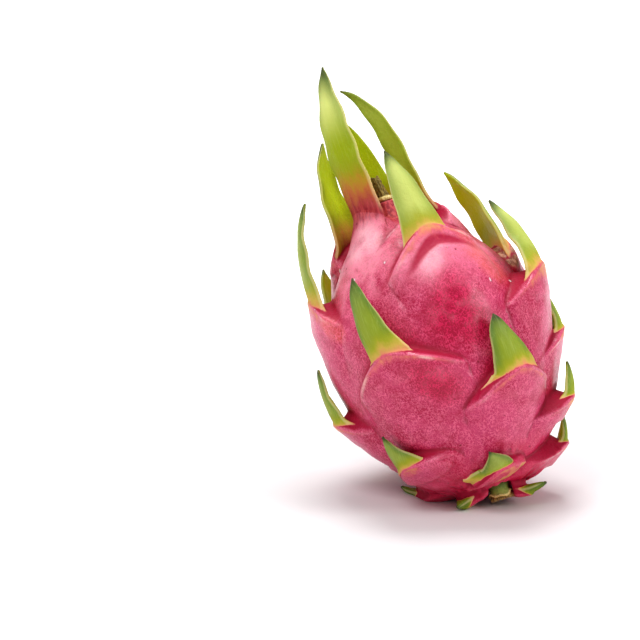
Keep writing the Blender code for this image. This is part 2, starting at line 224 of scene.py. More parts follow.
STUB_RIM_WAVE = 0.0003
STUB_NOTCH = 1.3
STUB_RIBS = (0.05, 3, 400)
STUB_FRAYS = ((0.06, 17), (0.05, 29))
FRAY_HEIGHT = 0.0018
FRAY_SOFTNESS = 0.0004
SOCKET_RADIUS = 0.0049
FIBRES = 150
FIBRE_RADIUS = (0.0026, 0.0040)
FIBRE_LENGTH = (0.0012, 0.0020)
FIBRE_THICK = (0.00012, 0.00022)
FIBRE_SIDES = (0, 2.1, 4.2)
FIBRE_ROOT = 0.0016
FIBRE_SPLAY = 0.0006
FIBRE_STRAY = 0.0004
FIBRE_SCATTER = 0.08
FIBRE_DOWN = (0.0066, 0.0066, 0.0066, 0.0072)

# Dried flower: a collar, as radius and height over its seat, and in it the style that leans over and
# is broken off at a share of its length. Its cuts are depth, rate around and rate along, its knots
# have the rate of their beat too, and the waves of the collar and the broken edge have no rate along.
COLLAR_PROFILE = (
    (0.0018, 0.0),
    (0.0024, 0.0),
    (0.00275, 0.0002),
    (0.0029, 0.0006),
    (0.0028, 0.0011),
    (0.0025, 0.0015),
    (0.0021, 0.0016),
)
STYLE_LENGTH = 0.0085
STYLE_BROKEN = 0.86
STYLE_RADIUS = 0.00205
STYLE_TAPER = 0.0004
STYLE_RIPPLE = 0.00008
STYLE_RIPPLES = 17
STYLE_FOOT = (0.0019, 0.0001)
STYLE_END = ((0.0013, 0.0001), (0.0008, -0.0003))
STYLE_ROWS = 34
STYLE_AROUND = 56
STYLE_LEAN = 8.0
STYLE_CUTS = ((0.07, 7, 260), (0.05, 13, -380), (0.04, 23, 900))
STYLE_KNOTS = (0.05, 3, 1500, 2200)
COLLAR_WAVES = ((0.04, 4), (0.03, 9))
STYLE_START = 0.0006
BROWN_START = 0.0004
BROKEN_FROM = 0.85
BROKEN_EDGE = ((0.0005, 3, 1), (0.0003, 8, 0))

# Run of colours from skin to green at a foot: how much shorter it is on short blades, how much later
# it starts on small lobes, how it widens downwards, sideways and upwards of the foot's core, and the
# blush above which a blade is one of the crown's, with a brick-red foot.
USUAL_BLADE = 0.028
SHORTEST_RUN = 0.28
LONGEST_RUN = 2.0
PLAIN_FOOT = 0.004
PLAIN_LOBE = 0.030
FOOT_CORE = 0.8
BESIDE = 0.8
UPHILL = 3
CROWN_BLUSH = 0.002

# How far up an axil and the pocket behind a blade are crimson with painted shade from the lobe's
# shoulder, and how wide they and a groove's crimson and painted shade are, as shares of the lobe's half
# width.
SHOULDER = 0.0009
AXIL_REACH = 0.015
AXIL_SHARE = 0.75
POCKET_REACH = 0.0032
POCKET_SHARE = 1.1
STREAK_SHARE = 0.7

# The line that a blade's margin draws on over the lobe's shoulder: its width, where it rises beside
# the foot and fades towards the lobe's side, and how far under another lobe it is covered.
LINE_WIDTH = 0.0005
LINE_START = 0.75
LINE_RISE = 0.4
LINE_FADE = 0.7
COVERED = 0.0012
COVER_SOFTNESS = 0.001

# Bounds of what is noted: the least green place, the body's radius that places far out are measured
# at, how far from a blade a place may be on it, how softly a blade and its inner face begin, how much
# of a blade a place has to be to take its colours, and how far about a place its hollow is felt.
FARTHEST_GREEN = -0.03
BODY_RADIUS = 0.04
BLADE_NOTED = 0.02
FOOT_SOFTNESS = 0.0018
FACE_SOFTNESS = 0.0008
LEAST_BLADE = 0.02
HOLLOW_ROUNDS = 10

# Round patches on some lobes, as distance across, distance below the foot and reach: crimson stains
# like an axil's, partly painted shade, waxy bloom with a painted highlight, a warm salmon tint, and the
# dry brown edge of an old tear.
PATCHES = {
    "axil": {
        "crown_low": ((-0.0080, 0.0265, 0.0140), (-0.0020, 0.0350, 0.0100)),
        "middle_front": ((0.0112, 0.0091, 0.0100),),
    },
    "bloom": {
        "crown_low": ((-0.0052, 0.0091, 0.0050),),
        "crown_front": ((0.0078, 0.0080, 0.0065), (0.0040, 0.0140, 0.0050)),
    },
    "warm": {
        "crown_low": ((0.0180, 0.0110, 0.0090), (0.0130, 0.0030, 0.0050)),
        "high_left": ((0.0153, 0.0019, 0.0050),),
    },
    "dry": {
        "high_right": (
            (-0.0150, -0.0011, 0.0022),
            (-0.0100, -0.0016, 0.0026),
            (-0.0045, -0.0026, 0.0026),
        ),
    },
}

# How much of the pale inner face, with its painted glow, some blades show.
PALE_INSIDE = {
    "crown_right": 0.35,
    "bottom_front": 0.35,
    "seat_right": 0.25,
    "seat_left": 0.15,
    "bottom_left": 0.15,
    "low_front_left": 0.50,
}

# Fineness and reach of the curves, the tables and the grown surface, how far its points may settle,
# the height below which they are set on the floor, and how many triangles it may have.
OUTLINE_POINTS = 24
SLOPE_STEP = 0.0008
TABLE_STEP = 0.00025
TABLE_RADIUS = 0.062
TABLE_HEIGHTS = (-0.014, 0.130)
TABLE_ALONG = 1400
TABLE_CAPS = 24
RELIEF_CELLS = (1440, 760)
LEAST_RADIUS = 0.004
BLADE_STEP = 0.0007
BLADE_ROOM = 0.005
AT_END = 0.001
FINE = 0.00046
BLOCK = 4
CLOSE_BLOCKS = 1.5
BODY_LOW = (-0.05, -0.05, -0.01)
BODY_HIGH = (0.05, 0.05, 0.12)
SLOPE_REACH = 0.00015
SETTLE_SHARE = 0.7
LEAST_SLOPE = 0.1
FLOOR_SNAP = 0.00006
MOST_TRIANGLES = 188000
AT_ONCE = 400000


class Lobe(NamedTuple):
    """The swelling of the skin below a bract."""

    length: float
    half_width: float
    height: float
    tilt: float


class Bract(NamedTuple):
    """A leaf-like scale. out is its angle from the fruit's axis outwards at the foot, half way up and
    at the tip. side is its angle towards growing azimuth at the foot and at the tip, and twist is how
    far it has turned about its own mid line at the tip. blush is how far the skin's red runs up the
    blade, and pale, yellow and brown are how much of each it shows."""

    name: str
    height: float
    azimuth: float
    length: float
    width: float
    out: tuple
    side: tuple
    twist: float
    lobe: Lobe
    blush: float
    pale: float
    yellow: float
    brown: float


BRACTS = (
    Bract("crown_front", 0.1055, -58, 0.0570, 0.0195, (6, -2, -12), (-6, 12), 14,
          Lobe(0.034, 0.014, 0.0058, 0), 0.0090, 0.80, 1.00, 0.2),
    Bract("crown_left", 0.0972, -118, 0.0395, 0.0165, (6, -3, -32), (0, 0), 0,
          Lobe(0.030, 0.014, 0.0078, 0), 0.0040, 0.15, 0.75, 0.3),
    Bract("crown_back", 0.1040, 186, 0.0375, 0.0125, (0, -4, -12), (6, 6), 0,
          Lobe(0.028, 0.014, 0.0070, 6), 0.0040, 0.10, 0.95, 0.3),
    Bract("crown_right", 0.0998, 130, 0.0568, 0.0090, (-17, -13, -64), (3, -3), 26,
          Lobe(0.028, 0.014, 0.0075, 0), 0.0030, 0.55, 0.35, 0.2),
    Bract("crown_low", 0.0910, 22.5, 0.0335, 0.0130, (2, -10, -18), (-3, -6), 0,
          Lobe(0.046, 0.021, 0.0065, -6), 0.0010, 0.62, 0.10, 0.3),
    Bract("high_right", 0.0815, 110, 0.0342, 0.0140, (-4, -19, -36), (6, -8), 14,
          Lobe(0.034, 0.018, 0.0062, -4), 0.0010, 0.30, 0.70, 0.1),
    Bract("high_left", 0.0815, -82, 0.0385, 0.0125, (0, -11, -38), (0, 0), 0,
          Lobe(0.040, 0.018, 0.0070, 0), 0.0010, 0.35, 0.25, 0.6),
    Bract("high_back", 0.0870, 178, 0.0300, 0.0130, (-6, -12, -26), (0, 4), 0,
          Lobe(0.034, 0.018, 0.0062, 0), 0.0010, 0.35, 0.35, 0.5),
    Bract("upper_right", 0.0690, 78, 0.0315, 0.0135, (-2, -20, -30), (20, 0), -16,
          Lobe(0.042, 0.019, 0.0096, 2), 0.0005, 0.60, 0.30, 0.4),
    Bract("upper_left_back", 0.0760, -122, 0.0205, 0.0110, (0, -8, -20), (4, 4), 0,
          Lobe(0.030, 0.016, 0.0055, 4), 0.0005, 0.30, 0.20, 0.8),
    Bract("middle_right_back", 0.0640, 148, 0.0230, 0.0115, (4, -6, -16), (-3, 0), 0,
          Lobe(0.034, 0.019, 0.0062, -3), 0.0, 0.40, 0.30, 0.5),
    Bract("middle_front", 0.0575, -21, 0.0305, 0.0110, (8, 0, -6), (-18, 6), 0,
          Lobe(0.040, 0.023, 0.0064, -2), 0.0015, 0.15, 0.35, 0.9),
    Bract("middle_left_back", 0.0550, -158, 0.0230, 0.0115, (6, -4, -14), (3, 3), 0,
          Lobe(0.034, 0.019, 0.0062, 3), 0.0, 0.35, 0.30, 0.5),
    Bract("middle_right", 0.0485, 96, 0.0165, 0.0105, (4, -4, -12), (0, 0), 0,
          Lobe(0.042, 0.019, 0.0072, 0), 0.0, 0.30, 0.25, 0.8),
    Bract("middle_left", 0.0425, -84, 0.0215, 0.0115, (12, 4, -12), (0, 0), 0,
          Lobe(0.026, 0.016, 0.0065, 0), 0.0, 0.25, 0.45, 0.6),
    Bract("lower_front", 0.0405, 37, 0.0212, 0.0148, (8, 0, -4), (-9, -7), 0,
          Lobe(0.029, 0.0195, 0.0074, 0), 0.0010, 0.15, 0.35, 0.9),
    Bract("lower_back", 0.0340, 158, 0.0160, 0.0115, (16, 8, 0), (0, 0), 0,
          Lobe(0.026, 0.018, 0.0062, 0), 0.0, 0.35, 0.25, 0.6),
    Bract("lower_left_back", 0.0260, -128, 0.0140, 0.0105, (24, 16, 6), (0, 0), 0,
          Lobe(0.021, 0.016, 0.0050, 0), 0.0, 0.30, 0.25, 0.6),
    Bract("low_right", 0.0272, 84, 0.0125, 0.0100, (26, 14, 4), (0, 0), 0,
          Lobe(0.024, 0.016, 0.0090, 0), 0.0, 0.25, 0.45, 0.8),
    Bract("low_front_left", 0.0215, -42, 0.0145, 0.0135, (26, 14, 4), (-20, -10), 0,
          Lobe(0.018, 0.015, 0.0060, -16), 0.0006, 0.22, 0.05, 1.0),
    Bract("low_back", 0.0160, -172, 0.0100, 0.0100, (40, 30, 20), (0, 0), 0,
          Lobe(0.015, 0.014, 0.0058, 0), 0.0, 0.30, 0.30, 0.7),
    Bract("bottom_right", 0.0135, 100, 0.0100, 0.0090, (32, 22, 14), (0, 0), 0,
          Lobe(0.028, 0.017, 0.0094, 0), 0.0, 0.20, 0.50, 0.9),
    Bract("bottom_back", 0.0140, -138, 0.0080, 0.0085, (60, 50, 40), (0, 0), 0,
          Lobe(0.014, 0.014, 0.0062, 0), 0.0, 0.25, 0.40, 0.8),
    Bract("bottom_left", 0.0100, -104, 0.0080, 0.0085, (56, 48, 40), (0, 0), 0,
          Lobe(0.012, 0.012, 0.0045, 0), 0.0, 0.15, 0.10, 1.0),
    Bract("bottom_front", 0.0110, 16, 0.0085, 0.0150, (44, 34, 24), (-16, -22), 0,
          Lobe(0.009, 0.013, 0.0048, -14), -0.0005, 0.25, 0.00, 1.0),
    Bract("seat_right", 0.0036, 70, 0.0085, 0.0080, (92, 88, 84), (0, 0), 0,
          Lobe(0.014, 0.012, 0.0075, 0), 0.0, 0.10, 0.15, 1.0),
    Bract("seat_back", 0.0044, 168, 0.0055, 0.0080, (84, 80, 76), (0, 0), 0,
          Lobe(0.008, 0.010, 0.0042, 0), 0.0, 0.20, 0.50, 0.9),
    Bract("seat_left", 0.0036, -38, 0.0055, 0.0080, (96, 94, 92), (0, 0), 0,
          Lobe(0.008, 0.009, 0.0045, 0), 0.0, 0.10, 0.15, 1.0),
)


def eased(value):
    """A smooth step from 0 to 1."""
    share = np.clip(value, 0, 1)
    return share * share * (3 - 2 * share)


def hump(value, width):
    """A smooth bell of height 1."""
    return np.exp(-((value / width) ** 2))


def smooth_curve(points, per_span):
    """Points along a Catmull-Rom curve through the given ones."""
    knots = np.array(points)
    knots = np.vstack([2 * knots[0] - knots[1], knots, 2 * knots[-1] - knots[-2]])
    made = []
    for before, start, end, after in zip(knots, knots[1:], knots[2:], knots[3:]):
        for t in np.arange(per_span) / per_span:
            made.append(
                0.5
                * (
                    2 * start
                    + (end - before) * t
                    + (2 * before - 5 * start + 4 * end - after) * t**2
                    + (3 * start - before - 3 * end + after) * t**3
                )
            )
    return np.array([*made, knots[-2]])


OUTLINE_CURVE = smooth_curve(OUTLINE, OUTLINE_POINTS)
OUTLINE_STEPS = np.linalg.norm(np.diff(OUTLINE_CURVE, axis=0), axis=1)
OUTLINE_ALONG = np.concatenate([[0.0], np.cumsum(OUTLINE_STEPS)])
OUTLINE_LENGTH = float(OUTLINE_ALONG[-1])


def along_at(height):
    """Distance along the outline, from the stem's seat, at which it reaches a height."""
    lowest = int(np.argmin(OUTLINE_CURVE[:, 1]))
    return float(np.interp(height, OUTLINE_CURVE[lowest:, 1], OUTLINE_ALONG[lowest:]))


def outline_at(along):
    """Radius and height at a distance along the outline."""
    return (
        np.interp(along, OUTLINE_ALONG, OUTLINE_CURVE[:, 0]),
        np.interp(along, OUTLINE_ALONG, OUTLINE_CURVE[:, 1]),
    )


def outward_at(along):
    """The outline's outward normal, as its parts along the radius and along the axis."""
    low_radius, low_height = outline_at(along - SLOPE_STEP)
    high_radius, high_height = outline_at(along + SLOPE_STEP)
    size = np.hypot(high_radius - low_radius, high_height - low_height)
    return (high_height - low_height) / size, (low_radius - high_radius) / size


def lean(places, directions=False):
    """Turns places or directions from the fruit's own frame to the leaning fruit's."""
    left = math.radians(LEAN_LEFT)
    back = math.radians(LEAN_BACK)
    sideways = np.array(
        [[math.cos(left), 0, -math.sin(left)], [0, 1, 0], [math.sin(left), 0, math.cos(left)]]
    )
    backwards = np.array(
        [[1, 0, 0], [0, math.cos(back), math.sin(back)], [0, -math.sin(back), math.cos(back)]]
    )
    turned = places @ (sideways @ backwards).T
    return turned if directions else turned + np.array(SEAT)


FLOOR_UP = lean(np.eye(3), directions=True)[:, 2]


class Table:
    """Values worked out on an even grid and read smoothly between its points."""

    def __init__(self, values, lows, steps, closed=False):
        self.values = np.asarray(values, np.float32)
        self.lows = lows
        self.steps = steps
        self.closed = closed

    def read(self, first, second):
        """One value per channel at the places given by two coordinates."""
        rows, columns = self.values.shape[:2]
        row = (first - self.lows[0]) / self.steps[0]
        column = np.clip((second - self.lows[1]) / self.steps[1], 0, columns - 1.001)
        if not self.closed:
            row = np.clip(row, 0, rows - 1.001)
        i = np.floor(row).astype(np.int32)
        j = column.astype(np.int32)
        a = (row - i)[:, None]
        b = (column - j)[:, None]
        i0 = i % rows
        i1 = (i + 1) % rows
        low = self.values[i0, j] * (1 - b) + self.values[i0, j + 1] * b
        high = self.values[i1, j] * (1 - b) + self.values[i1, j + 1] * b
        return (low * (1 - a) + high * a).T


def outline_table():
    """Distance to the outline, negative inside, and the nearest place along it, by radius and height."""
    radii = np.arange(0, TABLE_RADIUS, TABLE_STEP)
    heights = np.arange(*TABLE_HEIGHTS, TABLE_STEP)
    along = np.linspace(0, OUTLINE_LENGTH, TABLE_ALONG)
    curve = np.column_stack(outline_at(along))
    first_radii = np.linspace(0, curve[0, 0], TABLE_CAPS, endpoint=False)
    last_radii = np.linspace(curve[-1, 0], 0, TABLE_CAPS)[1:]
    first_cap = np.column_stack([first_radii, np.full(TABLE_CAPS, curve[0, 1])])
    last_cap = np.column_stack([last_radii, np.full(TABLE_CAPS - 1, curve[-1, 1])])
    points = np.vstack([first_cap, curve, last_cap])
    reached = np.concatenate([np.zeros(TABLE_CAPS), along, np.full(TABLE_CAPS - 1, OUTLINE_LENGTH)])
    tangent = np.gradient(points, axis=0)
    tangent /= np.linalg.norm(tangent, axis=1)[:, None]
    normal = np.column_stack([tangent[:, 1], -tangent[:, 0]])
    values = np.empty((len(radii), len(heights), 2))
    for row, radius in enumerate(radii):
        gap_r = radius - points[:, 0]
        gap_h = heights[:, None] - points[:, 1]
        near = np.argmin(gap_r**2 + gap_h**2, axis=1)
        over = gap_r[near]
        up = heights - points[near, 1]
        aside = over * normal[near, 0] + up * normal[near, 1]
        values[row, :, 0] = np.hypot(over, up) * np.sign(aside)
        slip = over * tangent[near, 0] + up * tangent[near, 1]
        values[row, :, 1] = np.clip(reached[near] + slip, 0, OUTLINE_LENGTH)
    return Table(values, (0.0, heights[0]), (TABLE_STEP, TABLE_STEP))


def ripple(turn, share, cells, seed):
    """A smooth random height from -1 to 1 over a turn and a share of the length."""
    lattice = np.random.default_rng(seed).uniform(-1, 1, (cells[0], cells[1] + 2))
    row = turn * cells[0]
    column = np.clip(share, 0, 1) * cells[1]
    i = np.floor(row).astype(int)
    j = np.floor(column).astype(int)
    a = eased(row - i)
    b = eased(column - j)
    i0 = i % cells[0]
    i1 = (i + 1) % cells[0]
    low = lattice[i0, j] * (1 - b) + lattice[i0, j + 1] * b
    high = lattice[i1, j] * (1 - b) + lattice[i1, j + 1] * b
    return low * (1 - a) + high * a


def shoulder_fall(bract, across):
    """How far below the bract's foot the top edge of its lobe is, at a distance across."""
    share = np.abs(across) / bract.lobe.half_width
    return SHOULDER_FALL * bract.lobe.half_width * share**SHOULDER_CURVE


def lobe_place(bract, radius, along, azimuth):
    """Distance across a lobe and distance below its top edge."""
    turn = (azimuth - math.radians(bract.azimuth) + math.pi) % (2 * math.pi) - math.pi
    tilt = math.radians(bract.lobe.tilt)
    flat, rise = radius * turn, along - along_at(bract.height)
    across = flat * math.cos(tilt) - rise * math.sin(tilt)
    up = flat * math.sin(tilt) + rise * math.cos(tilt)
    return across, -shoulder_fall(bract, across) - up


def flared(bract, share):
    """How much wider the blade is than its lance shape: its foot spreads where the fruit is broad."""
    room = min(1.0, float(outline_at(along_at(bract.height))[0]) / FLARE_RADIUS)
    return 1 + room * (FLARE * np.exp(-share / FLARE_REACH) + SKIRT * np.exp(-share / SKIRT_REACH))


def foot_half(bract):
    """Half the width that the blade has where it leaves the skin."""
    return 0.5 * bract.width * float(flared(bract, 0.0))


def lobe_lift(bract, across, below):
    """How far a lobe lifts the skin: a swelling with a dip under the blade and a rim beside it."""
    lobe = bract.lobe
    lower = np.clip(below / lobe.length, 0, 1)
    share = np.abs(across) / (lobe.half_width * (1 - LOW_NARROWING * lower**2))
    roundness = SIDE_ROUNDNESS + LOW_ROUNDNESS * eased(2 * lower)
    sides = np.clip(1 - share**SIDE_CURVE, 0, 1) ** roundness
    step = hump(np.minimum(below, 0), LOBE_STEP)
    size = min(1.0, lobe.length / USUAL_LOBE)
    dip = DIP_DEPTH * size * hump(below - DIP_BELOW, DIP_LENGTH) * hump(share, DIP_SHARE)
    beside = eased((np.abs(across) / foot_half(bract) - RIM_START) / (1 - RIM_START))
    rim = RIM_HEIGHT * size * hump(below, RIM_WIDTH) * beside * np.sqrt(np.clip(1 - share, 0, 1))
    groove = GROOVE_DEPTH * GROOVES.get(bract.name, 0) * hump(below - GROOVE_BELOW, GROOVE_WIDTH)
    dip = dip + groove * hump(share, GROOVE_SHARE)
    lift = lobe.height * sides * np.where(below > 0, (1 - lower) ** RAMP_CURVE, step)
    return np.maximum(lift - dip + rim * (sides > 0), 0)


def relief_table():
    """Height of the skin over the outline and how steep it is, by azimuth and distance along."""
    around, rows = RELIEF_CELLS
    turn_step = 2 * math.pi / around
    azimuth, along = np.meshgrid(
        np.arange(around) * turn_step, np.linspace(0, OUTLINE_LENGTH, rows), indexing="ij"
    )
    radius, _ = outline_at(along)
    total = np.zeros_like(along)
    for bract in BRACTS:
        across, below = lobe_place(bract, radius, along, azimuth)
        total += lobe_lift(bract, across, below) ** CREASE
    lift = total ** (1 / CREASE)
    turn = azimuth / (2 * math.pi)
    share = along / OUTLINE_LENGTH
    body = np.clip(radius / SWELL_RADIUS, 0, 1)
    swell = np.sin(SWELL_SIDES * azimuth + SWELL_TURN * along) * np.sin(SWELL_RATE * along + SWELL_START)
    lift += SWELL * swell * body
    for height, cells, seed in UNEVENNESS:
        lift += body * height * ripple(turn, share, cells, seed)
    low = eased((FOLDS_END - along) / FOLDS_REACH) * np.clip(radius / FOLDS_RADIUS, 0, 1)
    for height, cells, seed in FOLDS:
        lift += low * height * ripple(turn, share, cells, seed)
    left = OUTLINE_LENGTH - along
    neck = eased((NECK_LENGTH - left) / NECK_START)
    for depth, rate, start, climb, width in NECK_CREASES:
        lift -= neck * depth * hump(np.sin(rate * azimuth + start + climb * left), width)
    lift *= np.minimum(1, np.minimum(along / SEAT_FADE, left / NECK_FADE))
    climb_round = np.gradient(lift, turn_step, axis=0) / np.maximum(radius + lift, LEAST_RADIUS)
    climb_up = np.gradient(lift, OUTLINE_LENGTH / (rows - 1), axis=1)
    steepness = np.sqrt(1 + climb_round**2 + climb_up**2)
    values = np.stack([lift, steepness], axis=-1)
    return Table(values, (0.0, 0.0), (turn_step, OUTLINE_LENGTH / (rows - 1)), closed=True)


OUTLINE_FIELD = outline_table()
RELIEF_FIELD = relief_table()


def skin_place(places):
    """Radius, azimuth, distance to the outline and distance along it."""
    radius = np.hypot(places[:, 0], places[:, 1])
    azimuth = np.arctan2(places[:, 0], -places[:, 1])
    level, along = OUTLINE_FIELD.read(radius, places[:, 2])
    return radius, azimuth, level, along


def skin_distance(places):
    """Distance to the relieved skin without the blades, negative inside."""
    _, azimuth, level, along = skin_place(places)
    lift, steepness = RELIEF_FIELD.read(azimuth, along)
    return (level - lift) / steepness


AXIS = np.array([0, 0, 1.0])


def radial(azimuth):
    """Unit vectors outwards and around at an azimuth in degrees."""
    angle = math.radians(azimuth)
    outwards = np.array([math.sin(angle), -math.cos(angle), 0])
    around = np.array([math.cos(angle), math.sin(angle), 0])
    return outwards, around


def through_three(values, share):
    """The parabola through values at the shares 0, 1/2 and 1."""
    first, middle, last = values
    bend = 2 * (first - 2 * middle + last)
    return first + (last - first - bend) * share + bend * share**2


def unit(vector):
    """The vector at a length of 1."""
    return vector / np.linalg.norm(vector)


class Blade:
    """One bract's blade: closely spaced sections along its mid line, from its sunk root to its tip."""

    def __init__(self, bract, number):
        self.bract = bract
        self.number = number
        outwards, around = radial(bract.azimuth)
        foot, rooted = self.foot(outwards)
        count = int(math.ceil(bract.length / BLADE_STEP))
        self.step = bract.length / count
        sunk = int(min(ROOT_DEPTH, ROOT_SHARE * bract.lobe.length) / self.step)
        places = [foot - rooted * self.step * n for n in range(sunk, 0, -1)]
        directions = [rooted] * sunk
        place = foot
        for share in np.linspace(0, 1, count + 1).tolist():
            direction = self.heading(share, rooted, outwards, around)
            if share > 0:
                place = place + unit(direction + directions[-1]) * self.step
            places.append(place)
            directions.append(direction)
        self.places = np.array(places)
        self.along = np.array(directions)
        self.shares = (np.arange(len(places)) - sunk) / count
        across = around - self.along * (self.along @ around)[:, None]
        across = across / np.linalg.norm(across, axis=1)[:, None]
        twist = math.radians(bract.twist) * eased(TWIST_HASTE * self.shares)[:, None]
        self.across = across * np.cos(twist) + np.cross(self.along, across) * np.sin(twist)
        self.outward = np.cross(self.across, self.along)
        reach = foot_half(bract) + BLADE_ROOM
        self.low = self.places.min(axis=0) - reach
        self.high = self.places.max(axis=0) + reach

    def foot(self, outwards):
        """Where the mid line leaves the skin, and its direction from the sunk root up to there."""
        along = along_at(self.bract.height)
        radius, height = outline_at(along)
        out_part, up_part = outward_at(along)
        normal = outwards * out_part + AXIS * up_part
        upward = AXIS * out_part - outwards * up_part
        raised = self.bract.lobe.height - FOOT_SINK * BLADE_THICK
        slope = math.radians(ROOT_SLOPE)
        rooted = upward * math.cos(slope) + normal * math.sin(slope)
        return outwards * radius + AXIS * height + normal * raised, rooted

    def heading(self, share, rooted, outwards, around):
        """The mid line's direction at a share of the length, once it has turned out of the root's."""
        bract = self.bract
        out = math.radians(through_three(bract.out, share))
        side = math.radians(bract.side[0] + (bract.side[1] - bract.side[0]) * share)
        grown = (
            AXIS * math.cos(out) * math.cos(side)
            + outwards * math.sin(out)
            + around * math.cos(out) * math.sin(side)
        )
        first_section = 1 / ((LONG_SECTIONS if bract.length > LONG_BLADE else SHORT_SECTIONS) - 1)
        turned = min(1.0, 0.5 + 0.5 * share / first_section)
        return unit(rooted * (1 - turned) + grown * turned)

    def near(self, places):
        """Which places are close enough to the blade to be worth measuring."""
        return np.flatnonzero(np.all((places > self.low) & (places < self.high), axis=1))

    def half_width(self, share):
        """Half the blade's width: a lance shape on a flared foot."""
        bract = self.bract
        share = np.clip(share, 0, 1)
        slimness = bract.length / bract.width - USUAL_SLIMNESS
        fullness = min(FULLNESS[1], max(FULLNESS[0], FULLNESS[0] + FULLNESS_RATE * slimness))
        lance = (1 - share**fullness) ** (POINT + TIP_POINT * share**6)
        thorn = (1 - share) ** SCALE_POINT
        lance += (thorn - lance) * eased((SCALE_LENGTH + SCALE_CHANGE - bract.length) / SCALE_CHANGE)
        return np.maximum(TIP_WIDTH / 2, bract.width / 2 * lance * flared(bract, share))

    def steps_along(self, places):
        """How many steps along the mid line each place lies."""
        middle = self.places.mean(axis=0)
        spine = self.places - middle
        apart = (spine**2).sum(axis=1) - 2 * (places - middle) @ spine.T
        nearest = np.argmin(apart, axis=1)
        slip = ((places - self.places[nearest]) * self.along[nearest]).sum(axis=1) / self.step
        return np.clip(nearest + np.clip(slip, -0.5, 0.5), 0, len(spine) - 1)

    def section(self, across, outward, grown, wide):
        """Distance to the cross-section, a channelled lens with waved margins and a keel, and the
        place across it from -1 to 1 and outward from its middle."""
        thick = (TIP_THICK + (BLADE_THICK - TIP_THICK) * (1 - grown) ** THINNING) / 2
        margin = np.minimum(MARGIN_THICK / 2, thick)
        x = np.clip(across / wide, -1, 1)
        phase = 2 * math.pi * grown * self.bract.length / WAVE_LENGTH + WAVE_STAGGER * self.number
        wave = WAVE * np.sin(phase + WAVE_SLANT * x) * x * x * np.clip(WAVE_HASTE * grown, 0, 1)
        channel = FOOT_CHANNEL + (CHANNEL - FOOT_CHANNEL) * eased(grown / CHANNEL_REACH)
        bent = outward + (channel * wide * x * x + wave)
        body = margin + (thick - margin) * (1 - x * x)
        keel = KEEL * hump(across, KEEL_WIDTH) * np.clip(KEEL_HASTE * grown, 0, 1) * (1 - grown)
        body = body + np.where(bent > 0, keel, -0.5 * keel)
        sideways = np.abs(across) - (wide - margin)
        through = (np.abs(bent) - (body - margin)) / np.sqrt(1 + (2 * CHANNEL * x) ** 2)
        outside = np.hypot(np.maximum(sideways, 0), np.maximum(through, 0))
        return outside + np.minimum(np.maximum(sideways, through), 0) - margin, x, bent

    def measure(self, places):
        """Distance to the blade, share of its length, place across from -1 to 1, and place outward."""
        position = self.steps_along(places)
        last = len(self.places) - 1
        before = np.minimum(position.astype(int), last - 1)
        part = (position - before)[:, None]

        def there(values):
            """What the mid line has where each place lies along it."""
            return values[before] * (1 - part) + values[before + 1] * part

        offset = places - there(self.places)
        across = (offset * there(self.across)).sum(axis=1)
        outward = (offset * there(self.outward)).sum(axis=1)
        beyond = (offset * there(self.along)).sum(axis=1)
        share = there(self.shares[:, None])[:, 0]
        wide = self.half_width(share)
        fall = shoulder_fall(self.bract, np.minimum(np.abs(across), wide))
        share = share + fall * (1 - np.clip(share, 0, 1)) ** MARGIN_DROP / self.bract.length
        wide = self.half_width(share)
        distance, x, bent = self.section(across, outward, np.clip(share, 0, 1), wide)
        ahead = np.maximum(beyond, 0) * (position > last - AT_END)
        distance = np.where(ahead > 0, np.hypot(np.maximum(distance, 0), ahead), distance)
        sunk = np.maximum(-beyond, 0) * (position < AT_END)
        distance = np.where(sunk > 0, np.hypot(np.maximum(distance, 0), sunk), distance)
        return distance, share, x, bent


BLADES = [Blade(bract, number) for number, bract in enumerate(BRACTS)]


def joined(first, second, reach):
    """Two distances as one, with the inner corner between their surfaces filled over a reach."""
    fill = np.maximum(reach - np.abs(first - second), 0)
    return np.minimum(first, second) - fill * fill / (4 * reach)


def fruit_distance(places):
    """Distance to the whole fruit, negative inside and under the floor it stands on."""
    total = skin_distance(places)
    for blade in BLADES:
        near = blade.near(places)
        if not len(near):
            continue
        distance, share, _, outward = blade.measure(places[near])
        foot = 1 - eased(share * blade.bract.length / FOOT_BLEND_LENGTH)
        reach = AXIL_BLEND + (FOOT_BLEND - AXIL_BLEND) * eased(outward / FOOT_BLEND_SIDE) * foot
        total[near] = joined(total[near], distance, reach)
    beside = np.hypot(places[:, 0] - STUB_PLACE[0], places[:, 1] - STUB_PLACE[1]) - SOCKET_RADIUS
    socket = np.maximum(beside, places[:, 2] - STUB_TOP - GAP)
    total = -joined(-total, socket, SOCKET_EDGE)
    above = places @ FLOOR_UP + SEAT[2]
    return -joined(-total, above, SPOT_EDGE)


def every_cell(counts):
    """The three numbers of every cell of a grid with these counts along its sides."""
    return np.stack(np.meshgrid(*[np.arange(n) for n in counts], indexing="ij"), -1).reshape(-1, 3)


CORNERS = every_cell((2, 2, 2))


def distance_grid(low, high, step):
    """The fruit's distance on an even grid, measured block by block except close to the surface."""
    wide = step * BLOCK
    blocks = np.ceil((high - low) / wide).astype(int)
    corner = every_cell(blocks)
    centre = low + (corner + 0.5 - 0.5 / BLOCK) * wide
    value = in_chunks(fruit_distance, centre)
    grid = value.reshape(blocks).astype(np.float32)
    for axis in range(3):
        grid = np.repeat(grid, BLOCK, axis)
    close = corner[np.abs(value) < wide * CLOSE_BLOCKS]
    nodes = (close[:, None, :] * BLOCK + every_cell((BLOCK, BLOCK, BLOCK))).reshape(-1, 3)
    grid[tuple(nodes.T)] = in_chunks(fruit_distance, low + nodes * step)
    return grid


